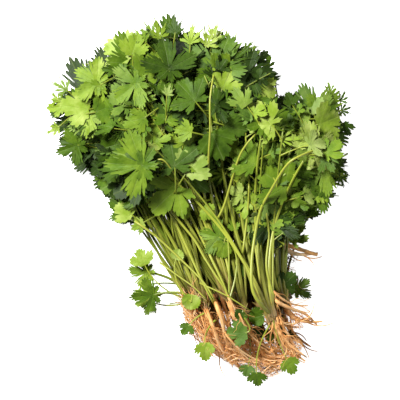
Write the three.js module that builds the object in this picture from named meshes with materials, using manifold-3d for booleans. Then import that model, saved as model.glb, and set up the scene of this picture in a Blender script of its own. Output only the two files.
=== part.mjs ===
// A bunch of coriander plants with their roots on, lying in a loose sheaf on a flat surface.
// Millimetres. +X is to the right and +Y runs from the roots to the leaves, seen from above; +Z is up.
// The origin is the centre of the bunch's footprint, on the surface.
// Each plant is two pieces: a green shoot (crown, stalks and leaves in one) and a tan root.
import * as THREE from "three";
import { mergeVertices } from "three/addons/utils/BufferGeometryUtils.js";
import Module from "manifold-3d";

const wasm = await Module();
wasm.setup();

// Driving dimensions
const FOOTPRINT_CENTRE = [-0.8, 4.3]; // where the drawing of the plants below has the middle of the bunch
const GAP = 0.3; // air left between one plant's pieces and the next
const CROWN_LENGTH = 12;
const CROWN_RADIUS = 3.5;
const STALK_RADIUS = 1.8;
const STALK_TIP_RADIUS = 0.85;
const STALK_SINK = 2; // how far an end leaf's neck is sunk into its stalk
const STALK_START = 4; // how far ahead of the crown's foot its stalks begin
const STALK_PITCH = 2.3; // between one stalk and the next in a crown
const STALK_FAN = 3; // degrees by which each stalk leaves the crown away from the next
const BLADE_THICKNESS = 0.7;
const NECK_HALF_WIDTH = 0.5;
const NECK_SHARE = 0.12; // of a blade's length, from its stalk to the middle of its lobes
const END_LEAF = 33; // length of the lobed leaf at the stalk's end
const SIDE_LEAFLET = 28; // length of a leaflet of the side pairs
const YOUNG_LEAF = 0.3; // share of the full leaf length that the shortest stalks would bear
const GROWN_STALK = 170; // stalk length that adds one more full leaf length to that share
const PAIR_SPACING = [36, 64]; // how far below the end each side pair sits
const PAIR_STALKS = [140, 222]; // how long a stalk has to be to bear each pair
const TAPROOT_RADIUS = 3;
const TAPROOT_SINK = 2; // how far ahead of the crown's foot the taproot's line starts
const TAPROOT_TIP_RADIUS = 0.7;
const ROOTLET_RADIUS = 0.7;
const ROOTLET_LENGTH = 20;
const BUNDLE_HEADING = 107; // degrees from +X: the way all stalks leave their crowns
const CROWN_PULL = 0.5; // share of its length over which a stalk keeps to that heading

// Facets
const STALK_SIDES = 5;
const STALK_STEPS = 5;
const ROOT_SIDES = 6;
const ROOT_STEPS = 4;
const ROOTLET_SIDES = 3;
const ROOTLET_STEPS = 2;

// Rules of the draw
const SEED = 2026;
const TRIES = 30; // positions tried for a stalk, a blade or a side root before it is left off
const ROOTLETS = 3;

// The heap's height above the surface: low over the stalks, and high under the two masses of leaves.
const HEAP_BASE = 26;
const HEAP_MOUNDS = [
  { x: -25, y: 85, reachX: 95, reachY: 75, height: 62 },
  { x: 90, y: 45, reachX: 50, reachY: 50, height: 32 },
  { x: 35, y: -85, reachX: 60, reachY: 60, height: 24 },
];

// The plants, from the top of the heap down. lie is the share of the heap's height that a plant lies at.
// tips are the ends of its stalks from left to right, seen from above: x, y, and for some a turn of the end
// leaf in degrees.
const PLANTS = [
  { lie: 0.93, crown: [66, -108], root: [28, -34], tips: [[-47, 36, 24], [56, 66], [98, 44, -30]] },
  {
    lie: 0.77, crown: [26, -90], root: [14, -40],
    tips: [[-94, 77], [-60, 121], [-50, 92, 40], [-14, 22, -85]],
  },
  {
    lie: 0.77, crown: [60, -102], root: [36, -46],
    tips: [[12, 114, -20], [34, 106], [72, 26], [100, 77, -20]],
  },
  { lie: 0.61, crown: [4, -102], root: [26, -50], tips: [[-42, -86], [-90, 50], [-90, 101], [-26, 134]] },
  { lie: 0.61, crown: [40, -106], root: [24, -44], tips: [[-8, 92], [-2, 122], [22, 56], [40, 100]] },
  { lie: 0.61, crown: [78, -98], root: [34, -14], tips: [[60, -14, -60], [104, 60], [98, 24, -60]] },
  { lie: 0.46, crown: [-8, -92], root: [20, -52], tips: [[-106, 70], [-70, 22], [-45, 57]] },
  { lie: 0.46, crown: [34, -96], root: [20, -54], tips: [[-62, 110], [-16, 120], [14, 80]] },
  { lie: 0.46, crown: [70, -104], root: [22, -40], tips: [[34, 62], [84, 62], [92, 4]] },
  { lie: 0.31, crown: [14, -108], root: [20, -42], tips: [[-98, 92], [-76, 108], [-64, 66]] },
  { lie: 0.31, crown: [50, -98], root: [24, -52], tips: [[-12, 66], [18, 118], [46, 88]] },
  { lie: 0.31, crown: [76, -40], root: [32, -10], tips: [[66, 44], [103, 64], [96, 26]] },
  { lie: 0.05, crown: [-4, -96], root: [14, -46], tips: [[-48, -66], [-60, -10], [-92, 40], [-84, 84]] },
  { lie: 0.05, crown: [40, -100], root: [30, -50], tips: [[-30, 36], [-20, 94], [4, 112]] },
  { lie: 0.05, crown: [76, -106], root: [26, -30], tips: [[36, 88], [84, 40], [94, 2], [88, -82]] },
];

// A blade's edge: angle from its midrib in degrees, and reach as a share of its length, for one half.
// The leaf at a stalk's end has five deeply cut lobes, and a side leaflet has three shallow ones.
const END_EDGE = [
  [0, 1], [11, 0.84], [22, 0.92], [35, 0.34],
  [47, 0.8], [62, 0.9], [76, 0.78], [94, 0.26], [112, 0.52], [142, 0.2],
];
const SIDE_EDGE = [[0, 1], [13, 0.8], [27, 0.92], [43, 0.52], [61, 0.76], [88, 0.3]];

const COLOURS = {
  topShoot: 0x6f9a3a,
  shoot: 0x557f2c,
  deepShoot: 0x44692a,
  root: 0xb98a56,
};

const UP = new THREE.Vector3(0, 0, 1);
const radians = THREE.MathUtils.degToRad;

// Mixes the bits of a whole number.
function mix(n) {
  n = Math.imul(n ^ (n >>> 16), 0x45d9f3b);
  n = Math.imul(n ^ (n >>> 16), 0x45d9f3b);
  return n ^ (n >>> 16);
}

// A number from -1 to 1 that depends only on the seed and the whole numbers given.
function draw(...keys) {
  const mixed = keys.reduce((n, key) => mix(n ^ Math.imul(key + 1, 0x9e3779b1)), SEED);
  return (mix(mixed) >>> 0) / 2 ** 31 - 1;
}

function heapHeight(x, y) {
  const bulge = (m) => m.height * Math.exp(-(((x - m.x) / m.reachX) ** 2) - ((y - m.y) / m.reachY) ** 2);
  return HEAP_MOUNDS.reduce((sum, mound) => sum + bulge(mound), HEAP_BASE);
}

function headingVector(degrees) {
  return new THREE.Vector3(Math.cos(radians(degrees)), Math.sin(radians(degrees)), 0);
}

// A line of a plant: a quadratic curve seen from above, at the plant's share of the heap's height.
class LyingCurve extends THREE.Curve {
  constructor(start, pull, end, lie) {
    super();
    this.plan = new THREE.QuadraticBezierCurve(start, pull, end);
    this.lie = lie;
  }
  getPoint(t) {
    const { x, y } = this.plan.getPoint(t);
    return new THREE.Vector3(x, y, this.lie * heapHeight(x, y));
  }
}

// The curve's point at t, with its direction and the two directions square to it.
function frameAt(curve, t) {
  const step = 0.02;
  const before = curve.getPoint(Math.max(0, t - step));
  const after = curve.getPoint(Math.min(1, t + step));
  const ahead = after.sub(before).normalize();
  const side = new THREE.Vector3().crossVectors(ahead, UP).normalize();
  return { point: curve.getPoint(t), ahead, side, over: new THREE.Vector3().crossVectors(side, ahead) };
}

// A tapered rod with round sides and closed ends, laid along a curve.
function rod(curve, radiusAt, sides, steps) {
  const ring = (i) => new THREE.Vector2(radiusAt(i / steps), i / steps);
  const rings = Array.from({ length: steps + 1 }, (_, i) => ring(i));
  const profile = [new THREE.Vector2(0, 0), ...rings, new THREE.Vector2(0, 1)];
  const geometry = new THREE.LatheGeometry(profile, sides);
  const place = geometry.getAttribute("position");
  for (let i = 0; i < place.count; i++) {
    const { point, side, over } = frameAt(curve, place.getY(i));
    point.addScaledVector(side, place.getX(i)).addScaledVector(over, place.getZ(i));
    place.setXYZ(i, point.x, point.y, point.z);
  }
  return geometry;
}

// A blade: flat facets that fan out from the middle of its lobes to its cut edge, with a neck back to its
// stalk. It is folded along the midrib and arched, and stays above the surface that the bunch lies on.
// Both faces are split alike.
function blade(pose, edge, swell = 0) {
  const half = BLADE_THICKNESS / 2 + swell;
  const length = pose.length + swell;
  const spot = (x, y) => {
    const rise = pose.fold * Math.abs(y) - pose.arch * x * x;
    const at = pose.base.clone().addScaledVector(pose.ahead, length * x);
    at.addScaledVector(pose.side, length * y).addScaledVector(pose.normal, length * rise);
    return at.setZ(Math.max(at.z, half));
  };
  const edgeSpot = ([angle, reach]) =>
    spot(NECK_SHARE + reach * Math.cos(radians(angle)), reach * Math.sin(radians(angle)));
  const mirrored = edge.slice(1).map(([angle, reach]) => [-angle, reach]).reverse();
  const neck = NECK_HALF_WIDTH / length;
  const rim = [...[...mirrored, ...edge].map(edgeSpot), spot(0, neck), spot(0, -neck)];
  const middle = [...rim, spot(NECK_SHARE, 0)];
  const shifted = (by) => middle.flatMap((v) => v.clone().addScaledVector(pose.normal, by).toArray());
  const count = middle.length;
  const heart = rim.length;
  const index = rim.flatMap((_, i) => {
    const next = (i + 1) % rim.length;
    const faces = [heart, i, next, count + heart, count + next, count + i];
    const wall = [i, count + i, count + next, i, count + next, next];
    return [...faces, ...wall];
  });
  const geometry = new THREE.BufferGeometry();
  const corners = new THREE.Float32BufferAttribute([...shifted(half), ...shifted(-half)], 3);
  geometry.setAttribute("position", corners);
  geometry.setIndex(index);
  return geometry;
}

// A closed mesh as a solid that can be joined and cut.
function solid(geometry) {
  const bare = geometry.clone().deleteAttribute("normal").deleteAttribute("uv");
  const merged = mergeVertices(bare, 1e-4);
  const vertProperties = merged.getAttribute("position").array;
  const triVerts = Uint32Array.from(merged.index.array);
  return new wasm.Manifold(new wasm.Mesh({ numProp: 3, vertProperties, triVerts }));
}

// Every piece placed so far, so that the next can be kept clear of it.
const placed = [];

function place(piece, name) {
  placed.push({ piece, name, box: piece.boundingBox() });
  return piece;
}

// Whether a swollen piece meets nothing but what it grows from, whose names start alike.
function isClear(swollen, growsFrom) {
  const box = swollen.boundingBox();
  const near = (other) => [0, 1, 2].every((k) => box.min[k] < other.max[k] && other.min[k] < box.max[k]);
  return placed.every(({ piece, name, box: other }) =>
    name.startsWith(growsFrom) || !near(other) || swollen.intersect(piece).isEmpty());
}

// The curve of a stalk. A later try bows it a little more to one side, and lifts or lowers it.
function stalkCurve(p, s, attempt) {
  const { crown, lie, tips } = PLANTS[p];
  const rank = s - (tips.length - 1) / 2;
  const start = new THREE.Vector2(...crown).addScaledVector(headingVector(BUNDLE_HEADING), STALK_START);
  start.x += STALK_PITCH * rank;
  const end = new THREE.Vector2(tips[s][0], tips[s][1]);
  const leaving = headingVector(BUNDLE_HEADING - STALK_FAN * rank);
  const pull = start.clone().addScaledVector(leaving, CROWN_PULL * start.distanceTo(end));
  pull.x += attempt * 1.5 * draw(p, s, attempt, 0);
  return new LyingCurve(start, pull, end, lie + attempt * 0.004 * draw(p, s, attempt, 1));
}

function stalkRod(curve, swell = 0) {
  const radiusAt = (t) => THREE.MathUtils.lerp(STALK_RADIUS, STALK_TIP_RADIUS, t) + swell;
  return solid(rod(curve, radiusAt, STALK_SIDES, STALK_STEPS));
}

function stalkLength(p, s) {
  const { crown, tips } = PLANTS[p];
  return Math.hypot(tips[s][0] - crown[0], tips[s][1] - crown[1]);
}

// The blades of a stalk: the share of the stalk that each sits at, and its side, where 0 is the end, 1 is
// left and -1 is right.
function bladePlaces(p, s) {
  const length = stalkLength(p, s);
  const pairs = PAIR_SPACING.filter((_, i) => length > PAIR_STALKS[i]);
  const sides = pairs.flatMap((below) => [1, -1].map((side) => ({ at: 1 - below / length, side })));
  return [{ at: 1, side: 0 }, ...sides];
}

// Where a blade grows and how it is held. Later tries tilt it further and make it smaller.
function bladePose(p, s, b, attempt, curve) {
  const { at, side } = bladePlaces(p, s)[b];
  const drawn = (k) => draw(p, s, b, attempt, k);
  const { point, ahead } = frameAt(curve, at);
  const along = THREE.MathUtils.radToDeg(Math.atan2(ahead.y, ahead.x));
  const turn = side ? side * (68 + 16 * drawn(0)) : (PLANTS[p].tips[s][2] ?? 0) + (8 + attempt) * drawn(0);
  const pitch = radians(-6 + (14 + 1.5 * attempt) * drawn(1));
  const roll = radians((18 + 1.5 * attempt) * drawn(2));
  const level = headingVector(along + turn);
  const pitched = level.clone().multiplyScalar(Math.cos(pitch)).addScaledVector(UP, Math.sin(pitch));
  const flatSide = new THREE.Vector3().crossVectors(UP, level);
  const flatNormal = new THREE.Vector3().crossVectors(pitched, flatSide);
  const grown = Math.min(1, YOUNG_LEAF + stalkLength(p, s) / GROWN_STALK);
  return {
    base: point.addScaledVector(ahead, side ? 0 : -STALK_SINK),
    ahead: pitched,
    side: flatSide.clone().multiplyScalar(Math.cos(roll)).addScaledVector(flatNormal, Math.sin(roll)),
    normal: flatNormal.clone().multiplyScalar(Math.cos(roll)).addScaledVector(flatSide, -Math.sin(roll)),
    length: grown * (side ? SIDE_LEAFLET : END_LEAF) * (1 + 0.16 * drawn(3) - 0.012 * attempt),
    arch: 0.1 + 0.14 * drawn(4),
    fold: 0.12 + 0.16 * drawn(5),
  };
}

// Tries a blade in one pose after another until it is clear, or leaves it off. An end leaf may lie on its own
// plant's stalks, and a side leaflet touches only the stalk that bears it.
function growBlade(p, s, b, curve) {
  const edge = b ? SIDE_EDGE : END_EDGE;
  const growsFrom = b ? `shoot ${p} stalk ${s}` : `shoot ${p} `;
  for (let attempt = 0; attempt < TRIES; attempt++) {
    const pose = bladePose(p, s, b, attempt, curve);
    if (isClear(solid(blade(pose, edge, GAP)), growsFrom)) {
      return place(solid(blade(pose, edge)), `blade ${p} ${s} ${b}`);
    }
  }
  return null;
}

function growStalk(p, s) {
  for (let attempt = 0; attempt < TRIES; attempt++) {
    const curve = stalkCurve(p, s, attempt);
    if (isClear(stalkRod(curve, GAP), `shoot ${p} `)) {
      return { curve, piece: place(stalkRod(curve), `shoot ${p} stalk ${s}`) };
    }
  }
  return null;
}

// The short thick foot that a plant's stalks grow from.
function crownSolid(p) {
  const { crown, lie } = PLANTS[p];
  const bundle = headingVector(BUNDLE_HEADING);
  const start = new THREE.Vector3(...crown, lie * heapHeight(...crown));
  const line = new THREE.LineCurve3(start, start.clone().addScaledVector(bundle, CROWN_LENGTH));
  const radiusAt = (t) => CROWN_RADIUS * (1 - 0.3 * t);
  return solid(rod(line, radiusAt, ROOT_SIDES, 2));
}

function taprootCurve(p) {
  const { crown, root, lie } = PLANTS[p];
  const away = headingVector(BUNDLE_HEADING).negate();
  const start = new THREE.Vector2(...crown).addScaledVector(away, -TAPROOT_SINK);
  const end = start.clone().add(new THREE.Vector2(...root));
  const pull = start.clone().addScaledVector(away, CROWN_PULL * start.distanceTo(end));
  return new LyingCurve(start, pull, end, lie);
}

// The taproot starts inside the crown and is cut square a gap below the crown's foot.
function taprootSolid(p, curve) {
  const away = headingVector(BUNDLE_HEADING).negate();
  const foot = away.dot(new THREE.Vector3(...PLANTS[p].crown, 0));
  const radiusAt = (t) => THREE.MathUtils.lerp(TAPROOT_RADIUS, TAPROOT_TIP_RADIUS, t);
  return solid(rod(curve, radiusAt, ROOT_SIDES, ROOT_STEPS)).trimByPlane(away.toArray(), foot + GAP);
}

// A side root: it leaves the taproot at a slant and wavers at the plant's own height.
function rootletCurve(p, r, attempt, taproot) {
  const { point, ahead } = frameAt(taproot, 0.3 + (0.6 * r) / ROOTLETS);
  const side = r % 2 ? 1 : -1;
  const drawn = (k) => draw(p, 90 + r, attempt, k);
  const heading = THREE.MathUtils.radToDeg(Math.atan2(ahead.y, ahead.x)) + side * (38 + 22 * drawn(0));
  const length = ROOTLET_LENGTH * (1 + 0.4 * drawn(1));
  const start = new THREE.Vector2(point.x, point.y);
  const pull = start.clone().addScaledVector(headingVector(heading), length * 0.6);
  const end = pull.clone().addScaledVector(headingVector(heading - side * 60), length * 0.6);
  return new LyingCurve(start, pull, end, PLANTS[p].lie);
}

function rootletRod(curve, swell = 0) {
  const radiusAt = (t) => ROOTLET_RADIUS * (1 - 0.5 * t) + swell;
  return solid(rod(curve, radiusAt, ROOTLET_SIDES, ROOTLET_STEPS));
}

function growRootlet(p, r, taproot) {
  for (let attempt = 0; attempt < TRIES; attempt++) {
    const curve = rootletCurve(p, r, attempt, taproot);
    if (isClear(rootletRod(curve, GAP), `root ${p} `)) {
      return place(rootletRod(curve), `root ${p} rootlet ${r}`);
    }
  }
  return null;
}

// Joins a plant's pieces into one body, cut level where it rests on the surface.
function joined(pieces) {
  const whole = wasm.Manifold.union(pieces).trimByPlane([0, 0, 1], 0);
  const bodies = whole.decompose().filter((body) => body.volume() > 0);
  const largest = bodies.reduce((a, b) => (a.volume() > b.volume() ? a : b));
  return largest.simplify(0.01);
}

function meshOf(piece, name, colour) {
  const { numProp, vertProperties, triVerts } = piece.getMesh();
  const geometry = new THREE.BufferGeometry();
  geometry.setAttribute("position", new THREE.BufferAttribute(vertProperties, numProp));
  geometry.setIndex(new THREE.BufferAttribute(triVerts, 1));
  const material = new THREE.MeshStandardMaterial({ color: colour, roughness: 0.6, metalness: 0 });
  const mesh = new THREE.Mesh(geometry, material);
  mesh.name = name;
  return mesh;
}

function shootColour(lie) {
  if (lie > 0.7) return COLOURS.topShoot;
  return lie > 0.4 ? COLOURS.shoot : COLOURS.deepShoot;
}

const numbers = PLANTS.map((_, p) => p);
const crowns = numbers.map((p) => place(crownSolid(p), `shoot ${p} crown`));
const taproots = numbers.map(taprootCurve);
const roots = numbers.map((p) => [place(taprootSolid(p, taproots[p]), `root ${p} taproot`)]);

const stalks = numbers.flatMap((p) => PLANTS[p].tips.map((_, s) => ({ p, s, ...growStalk(p, s) })));
const shoots = crowns.map((crown) => [crown]);
stalks.forEach(({ p, piece }) => piece && shoots[p].push(piece));

// The end leaves of all stalks come first, then the side ones, so that each stalk keeps its end.
for (let b = 0; b < 1 + 2 * PAIR_SPACING.length; b++) {
  for (const { p, s, curve } of stalks) {
    if (!curve || b >= bladePlaces(p, s).length) continue;
    const leaf = growBlade(p, s, b, curve);
    if (leaf) shoots[p].push(leaf);
  }
}

numbers.forEach((p) => {
  for (let r = 0; r < ROOTLETS; r++) {
    const rootlet = growRootlet(p, r, taproots[p]);
    if (rootlet) roots[p].push(rootlet);
  }
});

const bunch = new THREE.Group();
numbers.forEach((p) => {
  const number = String(p + 1).padStart(2, "0");
  bunch.add(meshOf(joined(shoots[p]), `shoot_${number}`, shootColour(PLANTS[p].lie)));
  bunch.add(meshOf(joined(roots[p]), `root_${number}`, COLOURS.root));
});
bunch.position.set(-FOOTPRINT_CENTRE[0], -FOOTPRINT_CENTRE[1], 0);

export default bunch;
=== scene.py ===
"""A bunch of coriander with its roots on, lying on a pale surface and seen from straight above.

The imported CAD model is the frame. Each plant's shoot and root are redrawn here in finer surfaces that follow
the same curves and the same leaf poses, and small leaves, leaf stalks and root hairs are added to them.
Lengths are in millimetres in the plants' own drawing, and become metres when a mesh is made.
"""

import functools
import math

import bpy
import numpy as np
from bpy.props import FloatProperty, FloatVectorProperty, IntProperty, PointerProperty
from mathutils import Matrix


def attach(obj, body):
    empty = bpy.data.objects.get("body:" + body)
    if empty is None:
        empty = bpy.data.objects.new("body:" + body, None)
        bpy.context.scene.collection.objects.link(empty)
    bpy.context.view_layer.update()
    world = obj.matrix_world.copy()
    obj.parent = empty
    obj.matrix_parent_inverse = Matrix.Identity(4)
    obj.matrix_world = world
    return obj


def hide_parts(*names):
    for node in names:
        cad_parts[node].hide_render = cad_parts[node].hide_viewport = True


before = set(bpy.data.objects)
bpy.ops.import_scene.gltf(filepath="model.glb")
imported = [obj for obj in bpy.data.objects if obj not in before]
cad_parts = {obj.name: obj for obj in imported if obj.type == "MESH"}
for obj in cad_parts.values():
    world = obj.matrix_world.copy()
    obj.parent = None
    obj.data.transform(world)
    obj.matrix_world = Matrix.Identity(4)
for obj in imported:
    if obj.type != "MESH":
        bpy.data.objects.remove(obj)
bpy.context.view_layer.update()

bl_info = {
    "name": "Coriander Bunch",
    "version": (1, 0, 0),
    "blender": (4, 5, 0),
    "location": "3D View > Sidebar > Coriander",
    "description": "Builds a lying bunch of coriander with roots round its CAD model",
    "category": "Object",
}

# The drawing of the plants, as in the solids
FOOTPRINT_CENTRE = np.array([-0.8, 4.3, 0.0])
CROWN_LENGTH = 12
CROWN_RADIUS = 3.5
STALK_RADIUS = 1.8
STALK_TIP_RADIUS = 0.85
STALK_SINK = 2
STALK_START = 4
STALK_PITCH = 2.3
STALK_FAN = 3
NECK_SHARE = 0.12
END_LEAF = 33
SIDE_LEAFLET = 28
YOUNG_LEAF = 0.3
GROWN_STALK = 170
PAIR_SPACING = [36, 64]
PAIR_STALKS = [140, 222]
TAPROOT_RADIUS = 3
TAPROOT_SINK = 2
TAPROOT_TIP_RADIUS = 0.7
ROOTLET_RADIUS = 0.7
ROOTLET_LENGTH = 20
ROOTLETS = 3
BUNDLE_HEADING = 107
CROWN_PULL = 0.5
SOLID_STALK_SIDES = 5
SOLID_STALK_STEPS = 5
SOLID_BLADE_HALF = 0.35
SOLID_ROOTLET_SIDES = 3
SEED = 2026
TRIES = 30
HEAP_BASE = 26
HEAP_MOUNDS = [(-25, 85, 95, 75, 62), (90, 45, 50, 50, 32), (35, -85, 60, 60, 24)]
END_EDGE = [
    (0, 1), (11, 0.84), (22, 0.92), (35, 0.34),
    (47, 0.8), (62, 0.9), (76, 0.78), (94, 0.26), (112, 0.52), (142, 0.2),
]
SIDE_EDGE = [(0, 1), (13, 0.8), (27, 0.92), (43, 0.52), (61, 0.76), (88, 0.3)]

# Each plant: share of the heap's height, crown, root's reach, and its stalks' tips with an end leaf's turn
PLANTS = [
    (0.93, (66, -108), (28, -34), [(-47, 36, 24), (56, 66, None), (98, 44, -30)]),
    (0.77, (26, -90), (14, -40), [(-94, 77, None), (-60, 121, None), (-50, 92, 40), (-14, 22, -85)]),
    (0.77, (60, -102), (36, -46), [(12, 114, -20), (34, 106, None), (72, 26, None), (100, 77, -20)]),
    (0.61, (4, -102), (26, -50), [(-42, -86, None), (-90, 50, None), (-90, 101, None), (-26, 134, None)]),
    (0.61, (40, -106), (24, -44), [(-8, 92, None), (-2, 122, None), (22, 56, None), (40, 100, None)]),
    (0.61, (78, -98), (34, -14), [(60, -14, -60), (104, 60, None), (98, 24, -60)]),
    (0.46, (-8, -92), (20, -52), [(-106, 70, None), (-70, 22, None), (-45, 57, None)]),
    (0.46, (34, -96), (20, -54), [(-62, 110, None), (-16, 120, None), (14, 80, None)]),
    (0.46, (70, -104), (22, -40), [(34, 62, None), (84, 62, None), (92, 4, None)]),
    (0.31, (14, -108), (20, -42), [(-98, 92, None), (-76, 108, None), (-64, 66, None)]),
    (0.31, (50, -98), (24, -52), [(-12, 66, None), (18, 118, None), (46, 88, None)]),
    (0.31, (76, -40), (32, -10), [(66, 44, None), (103, 64, None), (96, 26, None)]),
    (0.05, (-4, -96), (14, -46), [(-48, -66, None), (-60, -10, None), (-92, 40, None), (-84, 84, None)]),
    (0.05, (40, -100), (30, -50), [(-30, 36, None), (-20, 94, None), (4, 112, None)]),
    (0.05, (76, -106), (26, -30), [(36, 88, None), (84, 40, None), (94, 2, None), (88, -82, None)]),
]
# The plant that lies askew, whose root shows at the right
LOOSE_ROOT_PLANT = 11

# Finer forms that only this scene draws
BLADE_THICKNESS = 0.5
MATCH_REACH = 0.05
UP = np.array([0.0, 0.0, 1.0])
BODY = "root"
BED_FEET = [(20, -98), (28, -104), (32, -92), (24, -88), (56, -100), (10, -96)]
CROWN_STEPS = 9
CROWN_SIDES = 20
OLD_BASES = 4
OLD_BASE_RADIUS = 1.3
STALK_STEPS = 44
STALK_SIDES = 14
SHEATH_LENGTH = 9
THIN_STEPS = 32
BED_STEPS = 24
TOP_STALK_STEPS = 48
BLADE_STALK_RADIUS = 0.7
LOOSE_RUFFLE = 0.05
SINGLE_RUFFLE = 0.055
TAPROOT_STEPS = 30
# How many ribs a tube has round it, and their depth as a share of its radius
STALK_RIBS = (7, 0.06)
TOP_RIBS = (7, 0.05)
TAPROOT_RIBS = (3, 0.05)
ROOT_RIBS = (3, 0.06)
# The seed of the random numbers of each kind of piece, to which a plant's number is added
SEEDS = {
    "stalks": 100, "thin stalks": 200, "bed lines": 250, "bed looks": 260, "leaves": 300,
    "sprigs": 500, "roots": 700, "single leaves": 900, "felt": 950,
}

# The bunch's reach from above: height up the drawing, and the left and right ends there
REACH_ROWS = np.array([
    (-172, 46, 58), (-165, 42, 60), (-153, 32, 84), (-142, 12, 94), (-131, -2, 96), (-121, -16, 90),
    (-110, -16, 105), (-99, -20, 103), (-88, -36, 103), (-77, -36, 87), (-67, -40, 80), (-56, -52, 81),
    (-45, -53, 84), (-34, -54, 86), (-23, -67, 92), (-13, -77, 98), (-2, -91, 112), (9, -92, 121),
    (20, -100, 130), (31, -112, 132), (42, -124, 130), (52, -128, 130), (63, -134, 132), (74, -139, 133),
    (85, -137, 137), (95, -133, 100), (106, -130, 74), (117, -118, 68), (128, -94, 62), (139, -74, 56),
    (149, -60, 36), (160, -44, 20), (170, -30, -10),
])
# How far down the drawing the sprigs come, from left to right
LEAF_LINE = np.array([
    (-110, 20), (-80, -14), (-52, -34), (-40, -30), (-26, 14), (30, 14), (48, -14), (60, -40), (84, -42),
    (100, -16),
])

# A blade's outline for one half: each tooth's angle from the midrib, its reach and that of the notch after it
# as shares of the blade's length, and how strong a vein runs out to it.
TEETH = {
    "lobed": (0.84, [
        (0, 1.0, 0.92, 1.0), (11, 0.97, 0.84, 0.3), (21, 0.88, 0.7, 0.3), (29, 0.72, 0.26, 0.0),
        (42, 0.74, 0.68, 0.2), (52, 0.9, 0.82, 0.4), (62, 0.95, 0.84, 1.0), (72, 0.86, 0.7, 0.3),
        (82, 0.66, 0.2, 0.0), (101, 0.5, 0.44, 0.3), (115, 0.57, 0.44, 0.8), (130, 0.42, 0.14, 0.0),
        (160, 0.1, 0.06, 0.0),
    ]),
    "fan": (0.84, [
        (0, 1.0, 0.9, 1.0), (12, 0.96, 0.82, 0.3), (23, 0.86, 0.52, 0.2), (40, 0.8, 0.72, 0.3),
        (52, 0.86, 0.74, 0.9), (65, 0.78, 0.6, 0.3), (78, 0.6, 0.34, 0.0), (100, 0.34, 0.2, 0.4),
        (128, 0.14, 0.08, 0.0), (160, 0.07, 0.05, 0.0),
    ]),
    "cleft": (0.8, [
        (0, 1.0, 0.86, 1.0), (13, 0.9, 0.66, 0.3), (22, 0.7, 0.34, 0.0), (35, 0.78, 0.66, 0.4),
        (48, 0.86, 0.7, 0.9), (60, 0.7, 0.3, 0.2), (84, 0.46, 0.3, 0.5), (104, 0.3, 0.12, 0.0),
        (132, 0.1, 0.07, 0.0), (160, 0.07, 0.05, 0.0),
    ]),
    "wedge": (0.82, [
        (0, 1.0, 0.84, 1.0), (7, 0.96, 0.78, 0.2), (14, 0.85, 0.46, 0.2), (21, 0.88, 0.7, 0.8),
        (27, 0.64, 0.26, 0.2), (38, 0.18, 0.11, 0.0), (75, 0.09, 0.06, 0.0), (160, 0.05, 0.05, 0.0),
    ]),
    "round": (0.84, [
        (0, 1.0, 0.94, 1.0), (12, 0.99, 0.92, 0.2), (24, 0.95, 0.87, 0.3), (36, 0.91, 0.83, 0.9),
        (48, 0.86, 0.78, 0.2), (60, 0.8, 0.7, 0.3), (73, 0.71, 0.58, 0.8), (87, 0.56, 0.4, 0.1),
        (104, 0.36, 0.2, 0.0), (130, 0.14, 0.08, 0.0), (160, 0.07, 0.05, 0.0),
    ]),
    "feathery": (0.72, [
        (0, 1.0, 0.7, 1.0), (6, 0.88, 0.36, 0.3), (13, 0.6, 0.1, 0.2), (27, 0.64, 0.5, 0.5),
        (34, 0.9, 0.5, 0.9), (41, 0.64, 0.1, 0.3), (61, 0.5, 0.38, 0.6), (70, 0.58, 0.1, 0.3),
        (112, 0.12, 0.07, 0.0), (160, 0.06, 0.05, 0.0),
    ]),
}
SPRIG_KINDS = ["fan", "cleft", "cleft", "lobed", "lobed", "feathery"]
LEAFLET_KINDS = ["fan", "cleft", "lobed"]

# A hand of leaflets: each one's angle from the middle one, its length as a share of it and its outline
HAND = [(0, 1.0, "wedge"), (69, 0.9, "wedge"), (-69, 0.9, "wedge"), (124, 0.5, "cleft"), (-124, 0.5, "cleft")]

# A sprig's leaflets: the point of its stalk that each grows from, its turn and its share of the end one
SPRIG_LEAFLETS = [(6, 0, 1.0), (4, 62, 0.82), (4, -62, 0.82)]
# Millimetres below a stalk's tip at which its sprigs start, how far apart they are, and its bare lower share
SPRIG_START = 8
SPRIG_SPACING = 21
BARE_SHARE = 0.3

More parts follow.
